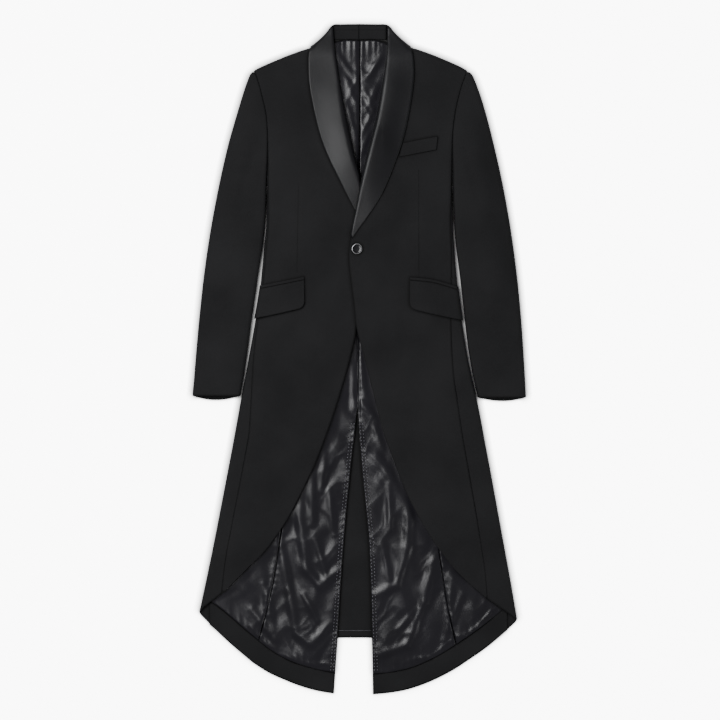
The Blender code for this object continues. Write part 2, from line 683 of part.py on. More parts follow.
def fall_grid(side):
    """Work out the collar's fall behind the neck, up to the middle of its fold."""
    ends = {"right": (97.0, 101.5), "left": (103.0, 108.0)}[side]
    grid = []
    limit = STAND_END[side]
    outer = [0.2, 18.0, 36.0, limit, limit + 6.0, limit + 13.0, 72.0, 81.0, 89.0, ends[0]]
    for number, x_fold in enumerate(outer):
        y_fold = smooth_value(COLLAR_LINE[side], x_fold)
        share = number / (len(outer) - 1.0)
        x_low = mix(0.2, ends[1], share)
        y_low = mix(597.0, 606.0, share)
        height = STAND_HEIGHT
        if x_fold > limit:
            full = front_height(side, x_fold, y_fold) + SHAWL_LIFT
            height = mix(STAND_HEIGHT, full, ease((x_fold - limit) / 6.0))
        radius = height / 2.0 - 0.17
        run = math.hypot(x_fold - x_low, y_fold - y_low)
        ux, uy = (x_fold - x_low) / run, (y_fold - y_low) / run
        line = []
        for amount in (0.0, 0.35, 0.7, 0.88):
            line.append((x_low + ux * (run - radius) * amount,
                         y_low + uy * (run - radius) * amount, 0.0))
        for angle in (0.0, 30.0, 60.0, 80.0, 85.0):
            turn = math.radians(angle)
            reach = run - radius + radius * math.sin(turn)
            line.append((x_low + ux * reach, y_low + uy * reach,
                         radius * (1.0 - math.cos(turn))))
        grid.append([place(side, point) for point in line])
    return grid


def stand_grid(side):
    """Work out the collar's stand inside the neck, from the middle of its fold."""
    limit = STAND_END[side]
    grid = []
    radius = STAND_HEIGHT / 2.0
    for share in spread(6):
        x = mix(0.2, limit, share)
        y_fold = smooth_value(COLLAR_LINE[side], x)
        line = []
        for angle in (5.0, 10.0, 32.0, 60.0, 88.0):
            turn = math.radians(angle)
            line.append((x, y_fold - radius + radius * math.cos(turn),
                         radius + radius * math.sin(turn)))
        for y in (658.0, 648.0, 638.2):
            line.append((x, y, STAND_HEIGHT))
        grid.append([place(side, point) for point in line])
    return grid


def fold_height(x, y):
    """Add up the lining's swags at a scene x and y."""
    height = 0.0
    for fold in FOLDS:
        dx, dy = fold.x2 - fold.x1, fold.y2 - fold.y1
        along = ((x - fold.x1) * dx + (y - fold.y1) * dy) / (dx * dx + dy * dy)
        near = min(max(along, 0.0), 1.0)
        away = math.hypot(x - fold.x1 - near * dx, y - fold.y1 - near * dy)
        height += fold.height * math.exp(-(away / fold.width) ** 2)
    return min(height, 2.2)


def lining_point(side, x, y):
    """Give a point on the lining's face, over the back."""
    scene_x = SIGN[side] * x
    z = back_rise(scene_x, y, 30.0) + WOOL + SEAM + LINING + fold_height(scene_x, y)
    return place(side, (x, y, z))


def lining_back_grid(side):
    """Work out the lining of a back half, from the neck to the hem facing."""
    stations = [0.0, 0.04, 0.1, 0.17, 0.26, 0.37, 0.48] + [0.57 + 0.043 * i for i in range(11)]
    grid = []
    for t in stations:
        line = []
        for share in spread(8):
            y = mix(636.5, -600.0, t)
            for _ in range(8):
                x_in = smooth_value(BACK_EDGE[side], y) + 1.2 * ease((-118.0 - y) / 6.0)
                x_out = back_seam(side, y)[0]
                if y > 300.0:
                    x_out = min(x_out, smooth_value(ARMHOLE[side], y) - 14.0)
                x = mix(x_in, x_out, share)
                top = min(636.5, back_top(side, x) - 10.0 * ease((x - 46.0) / 14.0))
                low = smooth_value(FACING_LINE[side], x) + SEAM
                y = mix(top, low, t)
            line.append(lining_point(side, x, y))
        grid.append(line)
    return grid


def lining_side_grid(side):
    """Work out the lining of a side-body, where it shows between cutaway and facing."""
    grid = []
    for t in spread(12):
        line = []
        for share in spread(8):
            y = -400.0
            for _ in range(8):
                x_in = back_seam(side, y, -0.3)[0]
                x_out = body_edge(side, y) - fold_radius(y) - 3.0
                x = mix(x_in, x_out, share)
                low = smooth_value(FACING_LINE[side], x) + SEAM
                y = mix(-285.0, low, t)
            line.append(lining_point(side, x, y))
        grid.append(line)
    return grid


def facing_grid(side):
    """Work out the strip of cloth along the inside of a tail's hem."""
    last = 299.0 if side == "right" else 297.0
    grid = []
    for share in spread(16):
        line = []
        for across in spread(4):
            x = 100.0
            y = -600.0
            for _ in range(8):
                x = mix(smooth_value(BACK_EDGE[side], y) + 1.0, last, share)
                y = mix(smooth_value(FACING_LINE[side], x),
                        smooth_value(HEM_LINE[side], x) + 1.6, across)
            z = back_rise(SIGN[side] * x, y, 30.0) + WOOL + SEAM + LINING
            line.append(place(side, (x, y, z)))
        grid.append(line)
    return grid


def underlap_grid():
    """Work out the plain panel behind the vent."""
    grid = []
    for t in spread(8):
        y = mix(-124.0, -556.8, t)
        left, right = mix(-26.0, -65.0, t), mix(22.0, 49.0, t)
        grid.append([place("left", (mix(left, right, share), y, TRIM)) for share in spread(5)])
    return grid


def pocket_point(side, x, y, round_fold, lift):
    """Give a point over the front, moved out along the cloth's normal.

    A positive round_fold is the angle gone round the side fold from the top.
    """
    if round_fold <= 0.0:
        return place(side, (x, y, front_point(side, x, y)[2] + lift))
    radius = fold_radius(y)
    angle = math.pi / 2.0 - round_fold
    x, z = wrap(side, y, radius * angle)
    return place(side, (x + lift * math.cos(angle), y, z + lift * math.sin(angle)))


def pocket_grid(side, kind):
    """Work out a flap or the jet above it, from its inner end to the side fold."""
    table = FLAPS[side]
    start = table["top"][0].x
    offsets = [0.0, 0.08, 0.35, 0.68, 1.0] if kind == "flap" else [0.0, 1.0]
    steps = [(step, 0.0) for step in (0.0, 1.5, 4.0, 7.5, 11.0, 24.0, 42.0, 60.0)]
    steps += [(None, angle) for angle in (0.0, 0.4, 0.8, 1.2)]
    grid = []
    for step, angle in steps:
        line = []
        for share in offsets:
            y = 120.0
            for _ in range(6):
                fold = body_edge(side, y) - fold_radius(y)
                x = fold + fold_radius(y) * angle if step is None else start + step
                top = smooth_value(table["top"], x)
                low = smooth_value(table["bottom"], x)
                if step is not None:
                    round_off = max(FLAP_CORNER - step, 0.0)
                    low += FLAP_CORNER - math.sqrt(FLAP_CORNER ** 2 - round_off ** 2)
                if kind == "jet":
                    low, top = top + SEAM, top + SEAM + JET_HEIGHT
                y = mix(top, low, share)
            line.append(pocket_point(side, x, y, angle, SEAM + TRIM + 0.15))
        grid.append(line)
    return grid


def welt_grid():
    """Work out the breast pocket's welt on the wearer's left front."""
    grid = []
    for share in spread(8):
        line = []
        for across in (0.0, 0.5, 1.0):
            top_in, top_out = WELT["top"]
            low_in, low_out = WELT["bottom"]
            x = mix(mix(top_in.x, top_out.x, share), mix(low_in.x, low_out.x, share), across)
            y = mix(mix(top_in.y, top_out.y, share), mix(low_in.y, low_out.y, share), across)
            line.append(pocket_point("left", x, y, 0.0, SEAM + TRIM + 0.1))
        grid.append(line)
    return grid


def add_turned(name, profile, base, material, collection):
    """Make a turned piece by screwing a profile of radius and height round its axis."""
    mesh = bpy.data.meshes.new(name)
    points = [(radius * METRE, 0.0, height * METRE) for radius, height in profile]
    closed = profile[0][0] > 0.0
    edges = [(i, i + 1) for i in range(len(points) - 1)]
    if closed:
        edges.append((len(points) - 1, 0))
    mesh.from_pydata(points, edges, [])
    mesh.materials.append(material)
    piece = bpy.data.objects.new(name, mesh)
    piece.location = [value * METRE for value in base]
    collection.objects.link(piece)
    turn = piece.modifiers.new("Turn", "SCREW")
    turn.steps = 40
    turn.render_steps = 40
    turn.use_merge_vertices = True
    turn.merge_threshold = 0.00005
    turn.use_smooth_shade = True
    return piece


def add_button(materials, collection):
    """Add the front button: a metal rim with a dark face set inside it."""
    radius = BUTTON_DIAMETER / 2.0
    heights = [front_height("left", BUTTON_X + radius * math.cos(a), BUTTON_Y + radius * math.sin(a))
               for a in [math.tau * i / 16 for i in range(16)]]
    base = (BUTTON_X, BUTTON_Y, max(heights) + SEAM + 0.1)
    top = BUTTON_THICKNESS
    rim = [(radius - 1.5, top - 0.3), (radius - 1.1, top), (radius - 0.5, top - 0.2),
           (radius, top - 1.2), (radius, 0.8), (radius - 0.8, 0.0), (radius - 1.5, 0.0)]
    add_turned("button_rim", rim, base, materials["silver_metal"], collection)
    inner = radius - 1.5 - SEAM
    face = [(0.0, top - 1.3), (inner * 0.6, top - 1.1), (inner - 0.6, top - 0.6),
            (inner, top - 0.9), (inner, 0.2), (0.0, 0.2)]
    add_turned("button_face", face, base, materials["button_black"], collection)


def build():
    """Build every piece of the coat in one collection."""
    for item in list(bpy.data.objects):
        bpy.data.objects.remove(item, do_unlink=True)
    collection = bpy.data.collections.new("Tailcoat")
    bpy.context.scene.collection.children.link(collection)
    materials = {name: make_material(name) for name in MATERIALS}
    wool = materials["black_wool"]
    satin = materials["black_satin"]
    lining = materials["charcoal_lining"]
    for side in ("right", "left"):
        add_sheet("back_" + side, back_grid(side), WOOL, wool, collection, -1.0)
        add_sheet("side_" + side, side_grid(side), WOOL, wool, collection, -1.0)
        add_sheet("front_" + side, front_grid(side), WOOL, wool, collection)
        upper = [y for y in SLEEVE_ROWS if y > ELBOW_Y] + [ELBOW_Y + SEAM / 2.0]
        lower = [ELBOW_Y - SEAM / 2.0] + [y for y in SLEEVE_ROWS if y < ELBOW_Y]
        add_sheet("top_sleeve_upper_" + side, sleeve_grid(side, False, upper), WOOL, wool,
                  collection)
        add_sheet("top_sleeve_lower_" + side, sleeve_grid(side, False, lower), WOOL, wool,
                  collection)
        add_sheet("under_sleeve_" + side, sleeve_grid(side, True, SLEEVE_ROWS), WOOL, wool,
                  collection, -1.0)
        add_sheet("shawl_" + side, shawl_grid(side), SATIN, satin, collection)
        add_sheet("collar_fall_" + side, fall_grid(side), SATIN, satin, collection, -1.0)
        add_sheet("neck_stand_" + side, stand_grid(side), WOOL, wool, collection)
        add_sheet("lining_back_" + side, lining_back_grid(side), LINING, lining, collection)
        add_sheet("lining_side_" + side, lining_side_grid(side), LINING, lining, collection)
        add_sheet("hem_facing_" + side, facing_grid(side), LINING, wool, collection)
        add_sheet("flap_" + side, pocket_grid(side, "flap"), TRIM, wool, collection)
        add_sheet("jet_" + side, pocket_grid(side, "jet"), TRIM, wool, collection)
    add_sheet("vent_underlap", underlap_grid(), TRIM, wool, collection)
    add_sheet("breast_welt", welt_grid(), TRIM, wool, collection)
    add_button(materials, collection)


build()
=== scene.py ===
"""Looks of a black long tailcoat laid flat: cloth panels, lining, sewing and button."""

import logging
import math
from dataclasses import dataclass, field
from enum import Enum
from typing import Callable, NamedTuple, Sequence

import bmesh
import bpy
import numpy as np
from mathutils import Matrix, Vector


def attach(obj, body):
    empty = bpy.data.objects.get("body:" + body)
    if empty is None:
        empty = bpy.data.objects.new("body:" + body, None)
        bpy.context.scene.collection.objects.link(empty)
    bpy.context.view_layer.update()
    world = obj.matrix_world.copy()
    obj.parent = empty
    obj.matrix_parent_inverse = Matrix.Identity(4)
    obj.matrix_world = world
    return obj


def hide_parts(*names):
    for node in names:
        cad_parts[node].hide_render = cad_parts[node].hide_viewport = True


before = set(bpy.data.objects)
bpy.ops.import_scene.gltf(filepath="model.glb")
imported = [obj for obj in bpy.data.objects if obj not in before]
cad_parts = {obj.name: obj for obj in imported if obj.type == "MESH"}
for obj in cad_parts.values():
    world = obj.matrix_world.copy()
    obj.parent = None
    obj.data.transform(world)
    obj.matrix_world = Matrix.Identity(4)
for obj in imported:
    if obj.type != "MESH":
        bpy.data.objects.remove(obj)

LOG = logging.getLogger("tailcoat")
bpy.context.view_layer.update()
Point2 = tuple[float, float]
Point3 = tuple[float, float, float]
Grid = list[list[Point3]]

# Cloth thicknesses and the gap at a seam, in millimetres as all lengths here.
WOOL = 2.0
SATIN = 1.6
LINING = 1.0
TRIM = 1.5
SEAM = 0.3
# Rolled edges: the side folds, their lower corners, and the rise of the middle over them.
FOLD_RADIUS = 7.0
CORNER_RADIUS = 5.0
BODY_CROWN = 3.0
SLEEVE_CROWN = 3.0
ARMPIT_Y = 344.0
NECK_SEAM_Y = 637.0
SHOULDER_SLOPE = 0.92
ROLL_RUN = FOLD_RADIUS / SHOULDER_SLOPE
SHAWL_START = 84.0
# How far each layer is lifted over what it lies on.
SHAWL_LIFT = SATIN + 0.7
OVERLAP_LIFT = WOOL + 0.7
LAPEL_LIFT = WOOL + SHAWL_LIFT + 0.8
FALL_LIFT = SATIN + 0.7
UNDERLAP_LIFT = TRIM + 0.5
NECK_DROP = 8.5
STAND_HEIGHT = 6.0
LINED_MARGIN = 30.0
METRE = 0.001


class At(NamedTuple):
    """One row of an edge: its outward x at a y, in millimetres."""

    y: float
    x: float


class Over(NamedTuple):
    """One row of an outline: its y at an outward x, in millimetres."""

    x: float
    y: float


# Side fold of the body below the armpit.
BODY_EDGE = {
    "right": [At(344, 183.7), At(278, 184.8), At(236, 188.4), At(144, 197.2), At(75, 207.4),
              At(-24, 225.4), At(-80, 236.0), At(-133, 245.2), At(-213, 260.2),
              At(-293, 275.6), At(-373, 291.2), At(-453, 307.8), At(-506, 319.4)],
    "left": [At(344, 186.3), At(278, 187.2), At(236, 189.0), At(144, 197.2), At(75, 205.6),
             At(-24, 222.3), At(-80, 235.8), At(-133, 245.6), At(-213, 260.8),
             At(-293, 275.4), At(-373, 290.0), At(-453, 304.6), At(-520, 316.0)],
}
# Armhole seam, from the shoulder point to the armpit.
ARMHOLE = {
    "right": [At(574, 209.5), At(568, 206.0), At(515, 191.0), At(474, 183.2), At(423, 182.0),
              At(344, 184.0)],
    "left": [At(574, 215.5), At(568, 213.0), At(536, 201.8), At(490, 191.6), At(436, 186.0),
             At(344, 186.6)],
}
# Roll line of the lapel, then the front edge and the cutaway down to the side fold.
FRONT_EDGE = {
    "right": [At(666, 53.6), At(638, 51.8), At(569, 43.0), At(479, 29.0), At(385, 8.6),
              At(349, -3.0), At(300, -10.0), At(248, -15.0), At(218, -13.5), At(138, -7.0),
              At(60, 5.0), At(23, 13.0), At(-52, 33.0), At(-122, 55.4), At(-201, 84.8),
              At(-258, 110.8), At(-316, 141.4), At(-382, 187.4), At(-417, 223.0),
              At(-458, 260.0), At(-483, 297.0), At(-503, 318.6)],
    "left": [At(666, 58.4), At(638, 58.4), At(569, 52.6), At(484, 38.6), At(421, 23.2),
             At(349, 5.4), At(278, -8.6), At(246, -15.0), At(208, -20.0), At(142, -13.6),
             At(101, -8.6), At(62, -4.6), At(-2, 12.0), At(-102, 37.0), At(-157, 52.0),
             At(-197, 67.0), At(-267, 94.6), At(-337, 132.0), At(-409, 182.0),
             At(-467, 242.0), At(-517, 312.0)],
}
# Outer edge of the shawl lapel.
LAPEL_EDGE = {
    "right": [At(604, 102.0), At(569, 101.6), At(505, 92.6), At(428, 72.2), At(357, 39.2),
              At(301, 9.8), At(274, -5.0)],
    "left": [At(604, 108.6), At(572, 110.6), At(518, 104.8), At(452, 92.0), At(396, 74.0),
             At(330, 46.0), At(278, 12.6), At(250, -8.0), At(241, -13.6)],
}
# Outline of the collar from the centre back to the lapel, and of the shoulder beyond it.
COLLAR_LINE = {
    "right": [Over(0, 670.0), Over(50, 669.0), Over(55.8, 665.4), Over(61.6, 657.4),
              Over(68.6, 649.4), Over(76.4, 641.4), Over(85.4, 633.4), Over(96.6, 625.4),
              Over(104, 622.0), Over(130, 612.0)],
    "left": [Over(0, 670.0), Over(54, 669.0), Over(61.2, 665.4), Over(67.2, 657.4),
             Over(74.6, 649.4), Over(83, 641.4), Over(92.2, 633.4), Over(102.4, 625.6),
             Over(110, 622.5), Over(130, 615.0)],
}
SHOULDER_LINE = {
    "right": [Over(50, 630.0), Over(80, 625.0), Over(96.6, 620.5), Over(113.4, 617.2),
              Over(134.6, 609.4), Over(154.6, 601.4), Over(174, 593.4), Over(192.2, 585.4),
              Over(207.6, 577.8), Over(214, 573.0), Over(225, 563.0)],
    "left": [Over(50, 630.0), Over(80, 627.0), Over(102.4, 622.5), Over(122.4, 617.4),
             Over(143, 609.4), Over(163.4, 601.4), Over(182.2, 593.4), Over(200.2, 585.4),
             Over(214, 577.8), Over(222, 572.5), Over(232, 561.0)],
}
# Outer and inner folds of the sleeves.
SLEEVE_OUTER = {
    "right": [At(574, 213.0), At(569, 217.4), At(557, 222.6), At(517, 235.8), At(477, 247.6),
              At(437, 259.2), At(357, 277.8), At(277, 293.4), At(197, 306.2), At(117, 315.8),
              At(37, 323.6), At(-43, 330.2), At(-85, 334.0)],
    "left": [At(574, 219.5), At(569, 225.6), At(557, 231.2), At(517, 245.8), At(477, 257.2),
             At(437, 267.4), At(357, 285.6), At(277, 300.4), At(197, 312.2), At(117, 321.0),
             At(37, 327.2), At(-43, 332.0), At(-85, 334.2)],
}
SLEEVE_INNER = {
    "right": [At(344, 184.3), At(278, 186.6), At(233, 191.2), At(159, 202.4), At(70, 215.2),
              At(-24, 228.6), At(-85, 239.4)],
    "left": [At(344, 186.9), At(261, 190.0), At(170, 200.6), At(78, 210.8), At(-12, 222.6),
             At(-85, 239.2)],
}
# How far the two side-body seams lie round the fold: on the top layer, and beneath.
SIDE_SEAM_TOP = {
    "right": [At(344, 2.2), At(300, 7.0), At(60, 9.0), At(-80, 24.0), At(-150, 32.0),
              At(-386, 33.0), At(-480, 41.0)],
    "left": [At(344, 2.2), At(300, 7.0), At(218, 9.0), At(68, 26.0), At(-80, 43.0),
             At(-136, 46.0), At(-406, 50.0), At(-490, 57.0)],
}
SIDE_SEAM_BACK = {
    "right": [At(344, 2.2), At(300, 42.0), At(208, 82.0), At(-80, 106.0), At(-350, 134.0),
              At(-480, 138.0), At(-560, 134.0)],
    "left": [At(344, 2.2), At(300, 42.0), At(208, 82.0), At(-80, 106.0), At(-350, 134.0),
             At(-480, 138.0), At(-560, 134.0)],
}
# Centre-back seam down to the vent, then the open edge of the vent.
BACK_EDGE = {
    "right": [At(640, -1.4), At(300, -0.4), At(40, 2.95), At(-100, 3.3), At(-122, 5.4),
              At(-237, 18.0), At(-372, 30.4), At(-522, 40.4), At(-670, 50.6)],
    "left": [At(640, 1.8), At(300, 0.8), At(40, -2.6), At(-100, -2.9), At(-122, -2.0),
             At(-237, 7.0), At(-372, 19.6), At(-562, 26.0), At(-672, 28.2)],
}
# Curved hem of the tails, and the inner edge of the hem facing.
HEM_LINE = {
    "right": [Over(40, -669.6), Over(51, -668.4), Over(75, -664.6), Over(120, -652.6),
              Over(150, -640.6), Over(177, -628.6), Over(197, -616.6), Over(215, -604.6),
              Over(230, -592.6), Over(257, -568.6), Over(284, -544.6), Over(298, -532.6),
              Over(309, -520.6), Over(320, -505.0)],
    "left": [Over(20, -670.4), Over(28, -670.0), Over(77.6, -664.6), Over(121, -652.6),
             Over(151, -640.6), Over(175, -628.6), Over(196, -616.6), Over(214, -604.6),
             Over(231, -592.6), Over(265, -568.6), Over(294, -544.6), Over(307, -532.6),
             Over(317, -519.0)],
}
FACING_LINE = {
    "right": [Over(40, -628.0), Over(54, -626.4), Over(118, -611.2), Over(167, -588.2),
              Over(220, -547.0), Over(266, -507.2), Over(292, -487.2), Over(310, -474.0)],
    "left": [Over(20, -630.0), Over(38, -629.2), Over(94, -620.2), Over(142, -601.6),
             Over(179, -580.6), Over(240, -539.4), Over(287, -501.0), Over(305, -486.0)],
}
# Corners of the pocket pieces, anticlockwise from the inner top, as outward x and y.
FLAPS = {
    "right": {"top": [Over(109.0, 158.5), Over(150, 150.0), Over(197, 141.0)],
              "bottom": [Over(109.0, 103.0), Over(150, 93.0), Over(207, 81.0)]},
    "left": {"top": [Over(101.4, 157.5), Over(140, 154.0), Over(196, 139.0)],
             "bottom": [Over(101.4, 101.0), Over(150, 89.0), Over(203, 78.0)]},
}
JET_HEIGHT = 6.0
FLAP_CORNER = 11.0
WELT = {"top": [Over(88.0, 431.2), Over(157.2, 444.6)],
        "bottom": [Over(80.0, 403.2), Over(154.6, 418.0)]}


class Fold(NamedTuple):
    """A soft ridge of cloth between two points, in millimetres of the scene."""

    x1: float
    y1: float
    x2: float
    y2: float
    width: float
    height: float


# Rows shared by the panels that meet at the armhole, and down the two side-body seams.
ARMHOLE_ROWS = (566.0, 548.0, 525.0, 495.0, 460.0, 425.0, 390.0, 362.0)
INNER_ROWS = (618.0, 596.0, 572.0, 538.0, 500.0, 455.0, 405.0, 368.0)
BACK_INNER_ROWS = (626.0, 604.0, 580.0, 540.0, 495.0, 450.0, 405.0, 368.0)
FRONT_ROWS = (318.0, 278.0, 262.0, 238.0, 208.0, 160.0, 110.0, 60.0, 10.0, -40.0, -95.0, -150.0,
              -205.0, -260.0, -310.0, -350.0, -385.0, -420.0)
BACK_ROWS = (318.0, 262.0, 200.0, 140.0, 80.0, 20.0, -40.0, -98.0, -124.0, -180.0, -245.0,
             -310.0, -380.0, -450.0)
TAIL_TOP = BACK_ROWS[-1]
TAIL_SHARES = (0.28, 0.56, 0.7, 0.85, 1.0)
STAND_END = {"right": 50.6, "left": 55.2}
FRONT_END = {"right": -464.8, "left": -476.8}
ROLL_ANGLES = (0.05, 0.13, 0.5, 0.95, 1.3)

SIGN = {"right": -1.0, "left": 1.0}


def smooth_value(rows: Sequence[tuple[float, float]], at: float) -> float:
    """Read a table of (station, value) rows with a smooth curve that never overshoots.

    Args:
        rows: Table rows of station and value.
        at: Station to read.

    Returns:
        The value there.
    """
    points = sorted((row[0], row[1]) for row in rows)
    count = len(points)
    if at <= points[0][0]:
        first, second = points[0], points[1]
        return first[1] + (second[1] - first[1]) / (second[0] - first[0]) * (at - first[0])
    if at >= points[-1][0]:
        first, second = points[-2], points[-1]
        return second[1] + (second[1] - first[1]) / (second[0] - first[0]) * (at - second[0])
    slopes = [(points[i + 1][1] - points[i][1]) / (points[i + 1][0] - points[i][0])
              for i in range(count - 1)]
    index = max(i for i in range(count - 1) if points[i][0] <= at)

    def tangent(i: int) -> float:
        """Give the slope at a row, flat where the rows turn back."""
        if i == 0:
            return slopes[0]
        if i == count - 1:
            return slopes[-1]
        if slopes[i - 1] * slopes[i] <= 0.0:
            return 0.0
        return 2.0 * slopes[i - 1] * slopes[i] / (slopes[i - 1] + slopes[i])

    low, high = points[index], points[index + 1]
    step = high[0] - low[0]
    t = (at - low[0]) / step
    value = low[1] * (2 * t ** 3 - 3 * t ** 2 + 1)
    value += tangent(index) * step * (t ** 3 - 2 * t ** 2 + t)
    value += high[1] * (-2 * t ** 3 + 3 * t ** 2)
    value += tangent(index + 1) * step * (t ** 3 - t ** 2)
    return value


def mix(start: float, end: float, amount: float) -> float:
    """Blend two values."""
    return start + (end - start) * amount


def ease(value: float) -> float:
    """Rise smoothly from 0 to 1 as the value goes from 0 to 1."""
    value = min(max(value, 0.0), 1.0)
    return value * value * (3.0 - 2.0 * value)


def spread(count: int) -> list[float]:
    """Return evenly spaced fractions from 0 to 1."""
    return [i / (count - 1) for i in range(count)]


def fold_radius(y: float) -> float:
    """Give the outer radius of the body's side fold."""
    return mix(FOLD_RADIUS, CORNER_RADIUS, ease((-300.0 - y) / 200.0))


def armhole_reach(y: float) -> float:
    """Give how far the body's fold would reach past the armhole seam."""
    return mix(-0.25, 3.5, ease((y - ARMPIT_Y) / 110.0))


def seam_distance(y: float) -> float:
    """Give the distance round the fold where a body panel meets the armhole seam.

    Args:
        y: Place along the coat in mm.

    Returns:
        The distance in millimetres.
    """
    radius = fold_radius(y)
    reach = max(armhole_reach(y) + 0.17, 0.0)
    return max(2.35, radius * math.acos(1.0 - reach / radius))


def roll_share(outline: Sequence[Over], x: float, y: float, radius: float, start: float) -> float:
    """Give the share of the full height near a rolled outline, from 0 on it to 1 inside.

    Args:
        outline: Table of the outline.
        x: Outward place in mm.
        y: Place along the coat in mm.
        radius: Radius of the roll in mm.
        start: Value at the start.

    Returns:
        The share.
    """
    inside = (smooth_value(outline, x) - y) * SHOULDER_SLOPE
    part = 1.0 - min(max(inside / radius, 0.0), 1.0)
    share = math.sqrt(max(1.0 - part * part, 0.0))
    return mix(1.0, share, ease((x - start) / 12.0))


def neck_drop(y: float) -> float:
    """Lower the fronts and lapels towards the collar."""
    return NECK_DROP * ease((y - 600.0) / 66.0)


def back_rise(x: float, y: float, margin: float = 0.0) -> float:
    """Lift the back at scene x over the collar's fall and over the vent's underlap.

    Args:
        x: Outward place in mm.
        y: Place along the coat in mm.
        margin: How far to widen the lift in mm.

    Returns:
        The rise in millimetres.
    """
    fall = ease((y - 572.0 + margin) / 20.0) * ease((162.0 + margin - abs(x)) / 24.0)
    across = ease((92.0 + margin - abs(x + 8.0)) / 20.0)
    along = ease((-96.0 + margin - y) / 24.0) * ease((y + 600.0 + margin) / 26.0)
    return FALL_LIFT * fall + UNDERLAP_LIFT * across * along


